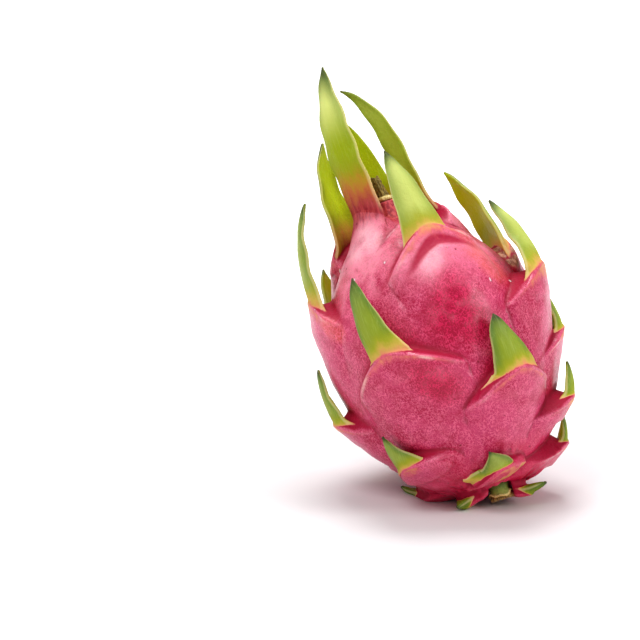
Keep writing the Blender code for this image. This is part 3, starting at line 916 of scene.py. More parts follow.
def net_points(grid, inside):
    """Every cell that the surface crosses, and in each the mean of where it crosses the edges."""
    size = np.array(grid.shape)
    count = np.zeros(size - 1, np.int8)
    for i, j, k in CORNERS:
        count += inside[i : size[0] - 1 + i, j : size[1] - 1 + j, k : size[2] - 1 + k]
    cells = np.argwhere((count > 0) & (count < len(CORNERS)))
    held = [grid[tuple((cells + corner).T)].astype(float) for corner in CORNERS]
    total = np.zeros((len(cells), 3))
    crossings = np.zeros(len(cells))
    for a, b in itertools.combinations(range(len(CORNERS)), 2):
        edge = CORNERS[b] - CORNERS[a]
        if np.abs(edge).sum() != 1:
            continue
        crossed = (held[a] < 0) != (held[b] < 0)
        share = np.where(crossed, held[a] / np.where(crossed, held[a] - held[b], 1), 0)
        total += (CORNERS[a] + share[:, None] * edge) * crossed[:, None]
        crossings += crossed
    return cells, cells + total / crossings[:, None]


def net_quads(inside, cells):
    """A quad for each grid edge that the surface crosses, between the points of its four cells."""
    size = np.array(inside.shape)
    numbers = np.full(size, -1, np.int32)
    numbers[tuple(cells.T)] = np.arange(len(cells))
    quads = []
    for ahead in np.eye(3, dtype=int):
        one, two = np.roll(ahead, 1), np.roll(ahead, 2)
        low_side = inside[: size[0] - ahead[0], : size[1] - ahead[1], : size[2] - ahead[2]]
        high_side = inside[ahead[0] :, ahead[1] :, ahead[2] :]
        for facing in (1, -1):
            edge = np.argwhere(low_side - high_side == facing)
            ring = [edge - one - two, edge - two, edge, edge - one]
            quads.append(np.column_stack([numbers[tuple(cell.T)] for cell in ring[::facing]]))
    quads = np.vstack(quads)
    return quads[(quads >= 0).all(axis=1)]


def grow_surface(low, high, step):
    """Points and quads of the closed surface where the fruit's distance is nil, as a surface net."""
    grid = distance_grid(low, high, step)
    inside = (grid < 0).astype(np.int8)
    cells, points = net_points(grid, inside)
    return low + points * step, net_quads(inside, cells)


def in_chunks(function, places):
    """Applies a function of places to a long list of them a part at a time."""
    parts = [function(places[n : n + AT_ONCE]) for n in range(0, len(places), AT_ONCE)]
    return np.concatenate(parts)


def slopes_at(places):
    """The distance's value and its steepest direction at each place."""
    corners = np.array([[1, 1, 1], [1, -1, -1], [-1, 1, -1], [-1, -1, 1]])
    values = [in_chunks(fruit_distance, places + SLOPE_REACH * c) for c in corners]
    slope = sum(v[:, None] * c for v, c in zip(values, corners)) / (4 * SLOPE_REACH)
    return sum(values) / 4, slope


def settle(places, most):
    """Moves places on to the surface along the steepest direction."""
    for _ in range(2):
        value, slope = slopes_at(places)
        size = np.maximum((slope**2).sum(axis=1), LEAST_SLOPE)
        move = np.clip(value / np.sqrt(size), -most, most)
        places = places - slope * (move / np.sqrt(size))[:, None]
    return places


def mesh_of(name, points, faces):
    """A mesh data block from points and faces that all have the same number of corners."""
    mesh = bpy.data.meshes.new(name)
    mesh.vertices.add(len(points))
    mesh.vertices.foreach_set("co", np.asarray(points, np.float32).ravel())
    mesh.loops.add(faces.size)
    mesh.loops.foreach_set("vertex_index", faces.astype(np.int32).ravel())
    mesh.polygons.add(len(faces))
    mesh.polygons.foreach_set("loop_start", np.arange(len(faces), dtype=np.int32) * faces.shape[1])
    mesh.update(calc_edges=True)
    mesh.validate()
    return mesh


def new_piece(name, mesh):
    """An object in the scene with a smoothly shaded mesh."""
    piece = bpy.data.objects.new(name, mesh)
    bpy.context.scene.collection.objects.link(piece)
    mesh.shade_smooth()
    return piece


def thinned(mesh, most):
    """The mesh with at most that many triangles, fewer where it is flat."""
    mesh.calc_loop_triangles()
    count = len(mesh.loop_triangles)
    if count <= most:
        return mesh
    helper = bpy.data.objects.new("helper", mesh)
    bpy.context.scene.collection.objects.link(helper)
    modifier = helper.modifiers.new("thin", "DECIMATE")
    modifier.ratio = most / count
    seen = helper.evaluated_get(bpy.context.evaluated_depsgraph_get())
    made = bpy.data.meshes.new_from_object(seen)
    bpy.data.objects.remove(helper)
    return made


def vertices_of(mesh):
    """The places of a mesh's vertices, one row each."""
    places = np.empty(len(mesh.vertices) * 3, np.float32)
    mesh.vertices.foreach_get("co", places)
    return places.reshape(-1, 3).astype(float)


def edges_of(mesh):
    """The two vertices at the ends of each edge of a mesh."""
    ends = np.empty(len(mesh.edges) * 2, np.int32)
    mesh.edges.foreach_get("vertices", ends)
    return ends.reshape(-1, 2)


def neighbours_mean(values, edges, count):
    """Each vertex's mean of its neighbours' values."""
    near = np.bincount(edges.ravel(), minlength=count)
    made = np.empty_like(values)
    for channel in range(values.shape[1]):
        column = values[:, channel]
        total = np.bincount(edges[:, 0], column[edges[:, 1]], count)
        total += np.bincount(edges[:, 1], column[edges[:, 0]], count)
        made[:, channel] = total / np.maximum(near, 1)
    return made


def hollowness(mesh, places, normals, rounds):
    """How far each vertex lies below its surroundings, in metres."""
    edges = edges_of(mesh)
    soft = places
    for _ in range(rounds):
        soft = neighbours_mean(soft, edges, len(places))
    return ((soft - places) * normals).sum(axis=1)


def note(mesh, name, values):
    """Writes one value or vector per vertex for the finishes to read."""
    kind = "FLOAT_VECTOR" if values.ndim == 2 else "FLOAT"
    layer = mesh.attributes.new(name, kind, "POINT")
    layer.data.foreach_set("vector" if values.ndim == 2 else "value", values.astype(np.float32).ravel())


def transition(bract):
    """How long a bract's run of colours at its foot is, against that of a blade of the usual length."""
    return float(np.clip(bract.length / USUAL_BLADE, SHORTEST_RUN, LONGEST_RUN))


def patch(patches, bract, across, below):
    """How much a place belongs to a bract's round patches, if it has any."""
    made = np.zeros(len(across))
    for aside, under, reach in patches.get(bract.name, ()):
        made = np.maximum(made, hump(np.hypot(across - aside, below - under), reach))
    return made


def lobe_notes(radius, azimuth, along):
    """What each place has from the lobes: the nearest foot's colours, stains, painted shade and
    highlights, and edges.
    """
    count = len(along)
    notes = {name: np.zeros(count) for name in ("crown", "valley", "rim", *PATCHES)}
    notes["greening"] = np.full(count, FARTHEST_GREEN)
    notes["tone"] = np.zeros((count, 3))
    places = [lobe_place(bract, radius, along, azimuth) for bract in BRACTS]
    lifts = [lobe_lift(bract, *place) for bract, place in zip(BRACTS, places)]
    highest = np.max(lifts, axis=0)
    for bract, (across, below), lift in zip(BRACTS, places, lifts):
        half = foot_half(bract)
        beside = np.maximum(np.abs(across) - FOOT_CORE * half, 0)
        away = np.hypot(np.where(below > 0, below, UPHILL * below), BESIDE * beside)
        size = min(1.0, bract.lobe.length / PLAIN_LOBE)
        reach = (-away - bract.blush) / transition(bract) - PLAIN_FOOT * (1 - size)
        first = reach > notes["greening"]
        notes["greening"] = np.where(first, reach, notes["greening"])
        notes["tone"][first] = (bract.pale, bract.yellow, bract.brown)
        notes["crown"][first] = bract.blush > CROWN_BLUSH
        wide = np.abs(across) / bract.lobe.half_width
        # The pocket behind a blade is crimson, partly as painted shade, from above the lobe's shoulder
        # upwards.
        behind = eased((-below - SHOULDER) / SHOULDER)
        above = behind * hump(below, AXIL_REACH * size) * hump(wide, AXIL_SHARE)
        notes["axil"] = np.maximum(notes["axil"], above)
        for name, patches in PATCHES.items():
            notes[name] = np.maximum(notes[name], patch(patches, bract, across, below))
        groove = GROOVES.get(bract.name, 0) * hump(below - GROOVE_BELOW, GROOVE_WIDTH)
        notes["valley"] = np.maximum(notes["valley"], groove * hump(wide, STREAK_SHARE))
        mouth = hump(np.minimum(below + 2 * SHOULDER, 0), POCKET_REACH * size)
        notes["valley"] = np.maximum(notes["valley"], behind * mouth * hump(wide, POCKET_SHARE))
        # A blade's margins run on over the lobe's shoulders where no other lobe covers them.
        edge = hump(below, LINE_WIDTH) * eased((np.abs(across) / half - LINE_START) / LINE_RISE)
        shown = eased((1 - wide) / LINE_FADE) * eased((lift + COVERED - highest) / COVER_SOFTNESS)
        notes["rim"] = np.maximum(notes["rim"], size**2 * edge * shown)
    return notes


def add_blade_notes(notes, places, skin):
    """Adds what each place has from the blade that it is on. skin is its distance to the skin."""
    count = len(places)
    nearest = np.full(count, BLADE_NOTED)
    for name in ("blade", "grown", "margin", "inner"):
        notes[name] = np.zeros(count)
    for blade in BLADES:
        bract = blade.bract
        near = blade.near(places)
        distance, share, x, outward = blade.measure(places[near])
        first = distance < nearest[near]
        chosen = near[first]
        nearest[chosen] = distance[first]
        grown = np.clip(share[first], 0, 1)
        mask = eased(0.5 + (skin[chosen] - distance[first]) / FOOT_SOFTNESS)
        reach = (grown * bract.length - bract.blush) / transition(bract)
        facing_in = eased(0.5 - outward[first] / FACE_SOFTNESS)
        notes["blade"][chosen] = mask
        notes["grown"][chosen] = grown
        notes["margin"][chosen] = x[first]
        notes["inner"][chosen] = facing_in * PALE_INSIDE.get(bract.name, 1.0)
        notes["greening"][chosen] = notes["greening"][chosen] * (1 - mask) + reach * mask
        held = chosen[mask > LEAST_BLADE]
        notes["tone"][held] = (bract.pale, bract.yellow, bract.brown)
        notes["crown"][held] = bract.blush > CROWN_BLUSH
    notes["inner"] = notes["inner"] * notes["blade"]


def note_fruit(mesh, places):
    """Notes on each vertex what of the fruit it belongs to, with lengths in millimetres."""
    normals = np.empty(len(places) * 3, np.float32)
    mesh.vertex_normals.foreach_get("vector", normals)
    normals = normals.reshape(-1, 3).astype(float)
    radius, azimuth, _, along = skin_place(places)
    notes = lobe_notes(np.minimum(radius, BODY_RADIUS), azimuth, along)
    add_blade_notes(notes, places, skin_distance(places))
    notes["greening"] = 1000 * notes["greening"]
    notes["place"] = 1000 * places
    notes["hollow"] = 1000 * hollowness(mesh, places, normals, HOLLOW_ROUNDS)
    notes["height"] = along / OUTLINE_LENGTH
    for name, values in notes.items():
        note(mesh, name, values)


def make_fruit():
    """The skin with its lobes and every bract, as one fine surface."""
    step = FINE
    low = np.min([blade.low for blade in BLADES] + [BODY_LOW], axis=0)
    high = np.max([blade.high for blade in BLADES] + [BODY_HIGH], axis=0)
    points, quads = grow_surface(low, high, step)
    points = settle(points, step * SETTLE_SHARE)
    mesh = thinned(mesh_of("fruit_skin", points, quads), MOST_TRIANGLES)
    places = vertices_of(mesh)
    note_fruit(mesh, places)
    stood = lean(places)
    stood[:, 2] = np.where(stood[:, 2] < FLOOR_SNAP, 0, stood[:, 2])
    stood = np.clip(stood, np.array(cad_low), np.array(cad_high))
    mesh.vertices.foreach_set("co", stood.astype(np.float32).ravel())
    mesh.update()
    return new_piece("fruit_skin", mesh)


def revolved(profile, around, lift):
    """Points and faces of a closed solid turned about the axis. lift moves its points outwards."""
    angles = np.arange(around) / around * 2 * math.pi
    rows = len(profile)
    radius = np.repeat([r for r, _ in profile], around)
    height = np.repeat([h for _, h in profile], around)
    angle = np.tile(angles, rows)
    radius = radius * (1 + lift(angle, height))
    points = np.column_stack([radius * np.cos(angle), radius * np.sin(angle), height])
    ends = np.array([[0, 0, profile[0][1]], [0, 0, profile[-1][1]]])
    points = np.vstack([points, ends])
    i = np.arange(around)
    j = (i + 1) % around
    faces = []
    for row in range(rows - 1):
        a, b = row * around, (row + 1) * around
        faces.append(np.column_stack([a + i, a + j, b + j]))
        faces.append(np.column_stack([a + i, b + j, b + i]))
    faces.append(np.column_stack([j, i, np.full(around, rows * around)]))
    last = (rows - 1) * around
    faces.append(np.column_stack([last + i, last + j, np.full(around, rows * around + 1)]))
    return points, np.vstack(faces)


def make_dried_flower():
    """The pale collar and the brown, grooved and broken style that the flower left on the neck."""
    seat = OUTLINE[-1][1] + GAP
    rim = seat + COLLAR_PROFILE[-1][1]
    tall = STYLE_LENGTH * STYLE_BROKEN
    top = rim + tall
    profile = [(radius, seat + up) for radius, up in COLLAR_PROFILE]
    profile.append((STYLE_FOOT[0], rim + STYLE_FOOT[1]))
    for share in np.linspace(0, 1, STYLE_ROWS)[1:]:
        radius = STYLE_RADIUS - STYLE_TAPER * share + STYLE_RIPPLE * math.sin(STYLE_RIPPLES * share)
        profile.append((radius, rim + share * tall))
    profile += [(radius, top + up) for radius, up in STYLE_END]
    starts = np.random.default_rng(11).uniform(0, 2 * math.pi, 6)

    def lift(angle, height):
        """How far each place stands out, as a share of its radius."""
        on_style = eased((height - rim) / STYLE_START)
        depth, rate, climb, beat = STYLE_KNOTS
        cuts = depth * np.sin(rate * angle + starts[3] + climb * height) * np.sin(beat * height)
        for (depth, rate, climb), begun in zip(STYLE_CUTS, starts):
            cuts = cuts + depth * np.sin(rate * angle + begun + climb * height)
        soft = 0
        for (depth, rate), begun in zip(COLLAR_WAVES, starts[4:]):
            soft = soft + depth * np.sin(rate * angle + begun)
        return on_style * cuts + (1 - on_style) * soft

    points, faces = revolved(profile, STYLE_AROUND, lift)
    share = np.clip((points[:, 2] - rim) / tall, 0, 1)
    # The broken end is higher on one side and ragged.
    angle = np.arctan2(points[:, 1], points[:, 0])
    ragged = sum(depth * np.sin(rate * angle + begun) for depth, rate, begun in BROKEN_EDGE)
    points[:, 2] += eased((share - BROKEN_FROM) / (1 - BROKEN_FROM)) * ragged
    points[:, 0] -= math.sin(math.radians(STYLE_LEAN)) * np.maximum(points[:, 2] - rim, 0)
    mesh = mesh_of("dried_flower_fine", lean(points), faces)
    note(mesh, "place", points * 1000)
    note(mesh, "style", eased((points[:, 2] - rim) / BROWN_START))
    return new_piece("dried_flower_fine", mesh)


def fibre(wild, angle, end):
    """Points of one three-sided fibre that hangs from the stub's cut end, its tip the last."""
    radius = wild.uniform(*FIBRE_RADIUS)
    length = wild.uniform(*FIBRE_LENGTH)
    thick = wild.uniform(*FIBRE_THICK)
    splay = wild.uniform(0, FIBRE_SPLAY)
    stray = wild.uniform(-FIBRE_STRAY, FIBRE_STRAY)
    outwards = np.array([math.cos(angle), math.sin(angle), 0])
    around = np.array([-math.sin(angle), math.cos(angle), 0])
    root = outwards * radius + np.array([0, 0, end + FIBRE_ROOT])
    tip = root + outwards * splay + around * stray - np.array([0, 0, length])
    ring = [root + thick * (outwards * math.cos(a) + around * math.sin(a)) for a in FIBRE_SIDES]
    return np.array([*ring, tip])


def make_stem_stub():
    """The short stub of the stem: green above, with a pale flared rim and a brown fibrous end."""
    end = STUB_TOP - STUB_LENGTH
    profile = [(STUB_RADIUS * wide, STUB_TOP - down) for wide, down in STUB_PROFILE]
    wild = np.random.default_rng(12)
    starts = wild.uniform(0, 2 * math.pi, 4)

    def lift(angle, height):
        """How far each place stands out, as a share of its radius."""
        low = eased((end + FRAY_HEIGHT - height) / FRAY_SOFTNESS)
        depth, rate, climb = STUB_RIBS
        ribs = depth * np.sin(rate * angle + climb * height)
        frayed = 0
        for (depth, rate), begun in zip(STUB_FRAYS, starts):
            frayed = frayed + depth * np.sin(rate * angle + begun)
        return ribs + low * frayed

    points, faces = revolved(profile, STUB_AROUND, lift)
    # The rim is lowest in front and rises to the sides, like the edge of a torn scale.
    angle = np.arctan2(points[:, 1], points[:, 0])
    by_rim = hump(points[:, 2] - (STUB_TOP - STUB_RIM_DOWN), STUB_RIM_REACH)
    torn = STUB_RIM_DROP * np.cos(2 * (angle + STUB_NOTCH)) + STUB_RIM_WAVE * np.sin(5 * angle)
    drop = by_rim * torn
    points[:, 2] -= drop
    all_points = [points]
    all_faces = [faces]
    all_downs = [STUB_TOP - points[:, 2] - drop]
    sides = np.array([[0, 1, 3], [1, 2, 3], [2, 0, 3], [0, 2, 1]])
    around = np.linspace(0, 2 * math.pi, FIBRES, endpoint=False)
    for number, angle in enumerate(around + wild.uniform(-FIBRE_SCATTER, FIBRE_SCATTER, FIBRES)):
        all_points.append(fibre(wild, angle, end))
        all_faces.append(len(points) + 4 * number + sides)
        all_downs.append(np.array(FIBRE_DOWN))
    points = np.vstack(all_points)
    points[:, :2] += STUB_PLACE
    mesh = mesh_of("stem_stub_fine", lean(points), np.vstack(all_faces))
    note(mesh, "place", points * 1000)
    note(mesh, "down", np.concatenate(all_downs) * 1000)
    return new_piece("stem_stub_fine", mesh)


BLACK = (0.0, 0.0, 0.0, 1.0)
WHITE = (1.0, 1.0, 1.0, 1.0)


def paint(red, green, blue):
    """A colour as seen on a screen, from 0 to 255, as the shader's linear one."""
    linear = []
    for part in (red, green, blue):
        share = part / 255
        linear.append(share / 12.92 if share <= 0.04045 else ((share + 0.055) / 1.055) ** 2.4)
    return (*linear, 1.0)


class Value:
    """What one output of a shader node gives. Sums on it add Math nodes."""

    def __init__(self, finish, socket):
        self.finish = finish
        self.socket = socket

    def maths(self, operation, *values):
        """The value that a Math node makes of some values."""
        return self.finish.add("ShaderNodeMath", {"operation": operation}, dict(enumerate(values)))

    def __add__(self, other):
        return self.maths("ADD", self, other)

    def __radd__(self, other):
        return self.maths("ADD", other, self)

    def __sub__(self, other):
        return self.maths("SUBTRACT", self, other)

    def __rsub__(self, other):
        return self.maths("SUBTRACT", other, self)

    def __mul__(self, other):
        return self.maths("MULTIPLY", self, other)

    def __rmul__(self, other):
        return self.maths("MULTIPLY", other, self)

    def __truediv__(self, other):
        return self.maths("DIVIDE", self, other)

    def size(self):
        """The value without its sign."""
        return self.maths("ABSOLUTE", self)

    def or_more(self, other):
        """The greater of two values."""
        return self.maths("MAXIMUM", self, other)


class Finish:
    """A material in the making."""

    def __init__(self, name):
        self.material = bpy.data.materials.new(name)
        self.material.use_nodes = True
        self.tree = self.material.node_tree
        self.tree.nodes.clear()

    def add(self, kind, settings, sockets, output=0):
        """Adds a node, makes its settings, then fills its sockets with values or links."""
        node = self.tree.nodes.new(kind)
        for name, setting in settings.items():
            if name == "stops":
                self.set_stops(node.color_ramp, setting)
            else:
                setattr(node, name, setting)
        for name, value in sockets.items():
            if isinstance(value, Value):
                self.tree.links.new(value.socket, node.inputs[name])
            else:
                node.inputs[name].default_value = value
        return Value(self, node.outputs[output])

    @staticmethod
    def set_stops(ramp, stops):
        """Gives a ramp its stops, each a position and a colour."""
        while len(ramp.elements) < len(stops):
            ramp.elements.new(0.5)
        for element, (position, colour) in zip(ramp.elements, stops):
            element.position = position
            element.color = colour

    def noted(self, name, vector=False):
        """What the mesh notes under a name."""
        settings = {"attribute_name": name}
        return self.add("ShaderNodeAttribute", settings, {}, "Vector" if vector else "Fac")

    def parts(self, vector):
        """The three numbers of a vector."""
        return [self.add("ShaderNodeSeparateXYZ", {}, {0: vector}, part) for part in range(3)]

    def cloud(self, place, scale, detail):
        """Soft noise about 0.5."""
        sockets = {"Vector": place, "Scale": scale, "Detail": detail, "Roughness": 0.55}
        return self.add("ShaderNodeTexNoise", {}, sockets)

    def cells(self, place, scale):
        """Distance to the nearest of scattered dots."""
        sockets = {"Vector": place, "Scale": scale, "Randomness": 1.0}
        return self.add("ShaderNodeTexVoronoi", {"feature": "F1"}, sockets, "Distance")

    def stretched(self, place, *scale):
        """The place with each of its three parts scaled."""
        return self.add("ShaderNodeVectorMath", {"operation": "MULTIPLY"}, {0: place, 1: scale})

    def band(self, value, low, high):
        """A smooth step from 0 at low to 1 at high."""
        sockets = {0: value, 1: low, 2: high, 3: 0.0, 4: 1.0}
        return self.add("ShaderNodeMapRange", {"interpolation_type": "SMOOTHSTEP"}, sockets)

    def blend(self, share, first, second):
        """A colour between two, the second at a share of 1."""
        settings = {"data_type": "RGBA", "blend_type": "MIX", "clamp_factor": True}
        return self.add("ShaderNodeMix", settings, {0: share, 6: first, 7: second}, 2)

    def ramp(self, value, *stops):
        """A colour that runs through stops, each a position and a colour."""
        return self.add("ShaderNodeValToRGB", {"stops": stops}, {0: value})

    def bump(self, height, depth, under=None):
        """A normal raised by a height from 0 to 1 of that depth in metres."""
        sockets = {"Height": height, "Distance": depth, "Strength": 1.0}
        if under:
            sockets["Normal"] = under
        return self.add("ShaderNodeBump", {}, sockets)

    def surface(self, sockets):
        """Ends the material in one Principled shader."""
        shader = self.add("ShaderNodeBsdfPrincipled", {}, sockets)
        end = self.tree.nodes.new("ShaderNodeOutputMaterial")
        self.tree.links.new(shader.socket, end.inputs["Surface"])
        return self.material


class Skin:
    """The bare skin in the making, and the noise and noted values that its parts share."""

    def __init__(self, finish, place, fine):
        self.finish = finish
        self.place = place
        self.fine = fine
        self.broad = finish.cloud(place, 0.040, 3.0)
        self.middling = finish.cloud(place, 0.13, 4.0)
        self.streaks = finish.cloud(finish.stretched(place, 1.0, 1.0, 0.12), 0.9, 3.0)
        self.height = finish.noted("height")
        self.hollow = finish.noted("hollow")
        self.bloom = finish.band(finish.noted("bloom") + 0.5 * (self.broad - 0.5), 0.05, 1.00)
        self.dry = finish.band(finish.noted("dry") + 0.8 * (self.middling - 0.5), 0.25, 0.75)
        self.pocket = finish.band(finish.noted("valley") + 0.4 * (self.middling - 0.5), 0.12, 0.70)
        uneven = 0.7 * (self.middling - 0.5) + 0.4 * (fine - 0.5)
        self.crimson_and_shade = finish.band(finish.noted("axil") + uneven, 0.15, 0.90)
        lighter = finish.band(self.broad * 0.55 + self.middling * 0.45, 0.40, 0.60)
        self.colour = finish.blend(lighter, paint(176, 26, 74), paint(194, 58, 102))
        self.cloud_over()
        self.speckled = self.speckle()
        self.deepen()
        self.age()
        duller = finish.band(self.height, 0.86, 0.92)
        self.dull = duller.or_more(self.pocket.or_more(self.dry))

    def coat(self, share, colour):
        """Lays a share of a colour over the skin."""
        self.colour = self.finish.blend(share, self.colour, colour)

    def cloud_over(self):
        """A painted pale sheen on the upper part, patches of waxy bloom with painted highlights, salmon,
        and crimson with painted shade, and painted highlights on ridges.
        """
        finish = self.finish
        crimson = paint(160, 0, 54)
        # Painted sheen: the upper part is paler, as if lit by the soft light above.
        upper = finish.band(self.height, 0.58, 0.80)
        painted_sheen = upper * finish.band(self.broad + 0.5 * (self.middling - 0.5), 0.36, 0.56)
        self.coat(painted_sheen * 0.66, paint(240, 158, 172))
        # Waxy bloom, whose pale colour is partly a painted highlight.
        self.coat(self.bloom * 0.70, paint(246, 188, 198))
        warm = finish.band(finish.noted("warm") + 0.9 * (self.middling - 0.5), 0.20, 0.80)
        self.coat(warm * 0.60, paint(222, 98, 84))
        # Crimson in the axils and stains, partly painted shade.
        self.coat(self.crimson_and_shade * 0.95, crimson)
        patches = finish.band(self.broad * 0.4 + self.middling * 0.6, 0.54, 0.42)
        self.coat(patches * 0.25, crimson)
        # Painted highlight: paler where the skin stands above its surroundings.
        self.coat(finish.band(self.hollow, -0.06, -0.26) * 0.25, paint(232, 130, 152))

    def speckle(self):
        """Short worm-like pale marks and specks, clearest where the skin is crimson."""
        finish = self.finish
        bent = finish.stretched(self.place, 1.0, 1.0, 0.7)
        worms = finish.band((finish.cloud(bent, 1.15, 1.0) - 0.5).size(), 0.080, 0.030)
        specks = finish.band(finish.cells(bent, 1.05), 0.38, 0.16)
        gaps = finish.band(finish.cloud(self.place, 0.30, 3.0), 0.34, 0.58)
        marks = (worms * (0.45 + 0.55 * gaps)).or_more(specks * gaps)
        speckled = marks * (0.41 + 0.12 * self.crimson_and_shade) * (1 - 0.3 * self.bloom)
        self.coat(speckled, finish.blend(self.crimson_and_shade, paint(248, 128, 164), paint(234, 44, 104)))
        between = finish.band(finish.cloud(self.place, 1.4, 2.0), 0.52, 0.66) * (1 - marks)
        self.coat(between * (0.22 + 0.20 * self.crimson_and_shade), paint(150, 0, 44))
        return speckled

    def deepen(self):
        """Deeper and plainer colour towards the stem end, crimson with painted shade in the pockets, and
        painted shade in the hollows.
        """
        finish = self.finish
        low = finish.band(self.height + 0.10 * (self.middling - 0.5), 0.25, 0.10)
        self.coat(low * 0.55, paint(206, 6, 66))
        # Pockets and grooves: crimson, darkened as painted shade.
        self.coat(self.pocket * 0.92, paint(162, 0, 52))
        # Painted shade: darker where the skin lies below its surroundings.
        self.coat(finish.band(self.hollow, 0.04, 0.26) * 0.45, paint(124, 0, 28))

    def age(self):
        """A dull streaked neck, a few dark pits, thin pale margin lines, and the edge of an old tear."""
        finish = self.finish
        neck = finish.band(self.height, 0.885, 0.94)
        brick = finish.blend(
            finish.band(self.streaks, 0.38, 0.62), paint(128, 20, 30), paint(186, 76, 74)
        )
        self.coat(neck * 0.80, brick)
        pits = finish.band(finish.cells(self.place, 0.16), 0.085, 0.04)
        self.coat(pits * 0.7, paint(118, 8, 34))
        line = finish.ramp(
            finish.cloud(self.place, 0.07, 2.0),
            (0.42, paint(226, 122, 96)),
            (0.58, paint(250, 218, 206)),
        )
        self.coat(finish.noted("rim") * 0.85, line)
        bark = finish.blend(
            finish.band(self.streaks, 0.40, 0.60), paint(142, 102, 82), paint(198, 156, 130)
        )
        self.coat(self.dry * 0.85, bark)


def foot_colours(finish, reach):
    """Run of colours at the foot of each blade, by millimetres from where the green starts."""
    run = (reach + 5.0) / 15.0
    foot = finish.ramp(
        run,
        (0.00, paint(198, 60, 92)),
        (0.18, paint(208, 92, 98)),
        (0.32, paint(214, 138, 104)),
        (0.45, paint(196, 166, 78)),
        (0.60, paint(160, 160, 34)),
        (0.78, paint(136, 146, 6)),
        (1.00, paint(122, 138, 0)),
    )
    brick_foot = finish.ramp(
        run,
        (0.00, paint(140, 26, 38)),
        (0.22, paint(150, 44, 40)),
        (0.38, paint(172, 92, 40)),
        (0.52, paint(168, 128, 26)),
        (0.68, paint(150, 144, 10)),
        (1.00, paint(126, 138, 0)),
    )
    return finish.blend(finish.noted("crown") * 0.85, foot, brick_foot)


def leaf_colours(finish, reach, drift, veins, inner, blade):
    """Green of the blades, paler or yellower on some, browner at the tips, with dry thin margins."""
    grown = finish.noted("grown")
    margin = finish.noted("margin").size()
    pale_share, yellow_share, brown_share = finish.parts(finish.noted("tone", vector=True))
    age = grown + drift * 0.16
    leaf = finish.ramp(
        age,
        (0.00, paint(130, 144, 0)),
        (0.40, paint(106, 126, 0)),
        (0.75, paint(88, 116, 14)),
        (0.92, paint(70, 94, 34)),
        (1.00, paint(54, 62, 36)),
    )
    along_middle = finish.band(margin + drift * 0.3, 0.85, 0.15)
    pale = pale_share * (1 - inner) * (0.62 + 0.38 * along_middle) * finish.band(grown, 1.0, 0.75)
    leaf = finish.blend(pale, leaf, paint(228, 234, 140))
    leaf = finish.blend(yellow_share * finish.band(grown, 0.80, 0.46), leaf, paint(146, 160, 0))
    # Inner faces are yellow, painted brighter for the light that shines through the blades.
    leaf = finish.blend(inner * 0.75, leaf, paint(184, 196, 4))
    side_shade = finish.band(margin, 0.50, 0.92) * brown_share
    leaf = finish.blend(side_shade * 0.50, leaf, paint(82, 114, 56))
    tip = finish.band(age, 0.84, 1.0) * brown_share
    leaf = finish.blend(tip, leaf, paint(70, 74, 50))
    leaf = finish.blend(finish.band(veins, 0.50, 0.68) * 0.10, leaf, paint(206, 220, 130))
    leaf = finish.blend(finish.band(reach, 2.0, 9.0), foot_colours(finish, reach), leaf)
    return finish.blend(finish.band(margin, 0.92, 1.0) * 0.45 * blade, leaf, paint(222, 206, 158))


def skin_finish():
    """Waxy pink skin with fine pale specks, crimson with painted shade in its axils, and painted sheen,
    highlights and glints, that runs into green blades.
    """
    finish = Finish("fruit_skin")
    place = finish.noted("place", vector=True)
    blade = finish.noted("blade")
    inner = finish.noted("inner")
    fine = finish.cloud(place, 0.8, 3.0)
    veins = finish.cloud(finish.stretched(place, 2.4, 2.4, 0.12), 0.9, 2.0)
    drift = finish.cloud(finish.stretched(place, 1.0, 1.0, 0.4), 0.30, 4.0) - 0.5
    reach = finish.noted("greening") + 5.0 * drift + 1.6 * (fine - 0.5)
    leafy = finish.band(reach, -3.4, -0.3)
    skin = Skin(finish, place, fine)
    leaf = leaf_colours(finish, reach, drift, veins, inner, blade)
    # A few clinging drops of water, each with a painted white glint in its colour.
    drops = finish.band(finish.cells(finish.stretched(place, 1.0, 1.0, 0.45), 0.17), 0.095, 0.060)
    drops = drops * finish.band(skin.height, 0.45, 0.60) * (1 - blade)
    painted_glints = finish.band(drops, 0.80, 1.0)
    colour = finish.blend(painted_glints * 0.6, finish.blend(leafy, skin.colour, leaf), paint(255, 240, 244))
    roughness = 0.37 + 0.10 * leafy + 0.20 * skin.dull + 0.14 * (fine - 0.5)
    roughness = (roughness + 0.08 * skin.speckled + 0.12 * skin.bloom) * (1 - 0.85 * drops)
    coat = 0.36 * (1 - 0.8 * leafy) * (1 - skin.dull)
    pores = finish.bump(finish.cells(place, 1.3), 0.00005)
    grain = finish.bump(finish.cloud(place, 0.8, 4.0), 0.00022, pores)
    lines = finish.bump(veins * leafy, 0.00010, grain)
    # A painted glow on the inner faces stands in for daylight shining through the thin blades.
    painted_inner_glow = finish.blend(inner * leafy, BLACK, paint(186, 200, 0))
    return finish.surface(
        {
            "Base Color": colour,
            "Roughness": roughness,
            "Normal": finish.bump(drops, 0.00040, lines),
            "Emission Color": painted_inner_glow,
            "Emission Strength": 0.09,
            "Subsurface Weight": 0.10,
            "Subsurface Radius": (1.0, 0.35, 0.30),
            "Subsurface Scale": 0.0012,
            "Coat Weight": coat.or_more(drops),
            "Coat Roughness": 0.24,
            "Specular IOR Level": 0.26,
        }
    )


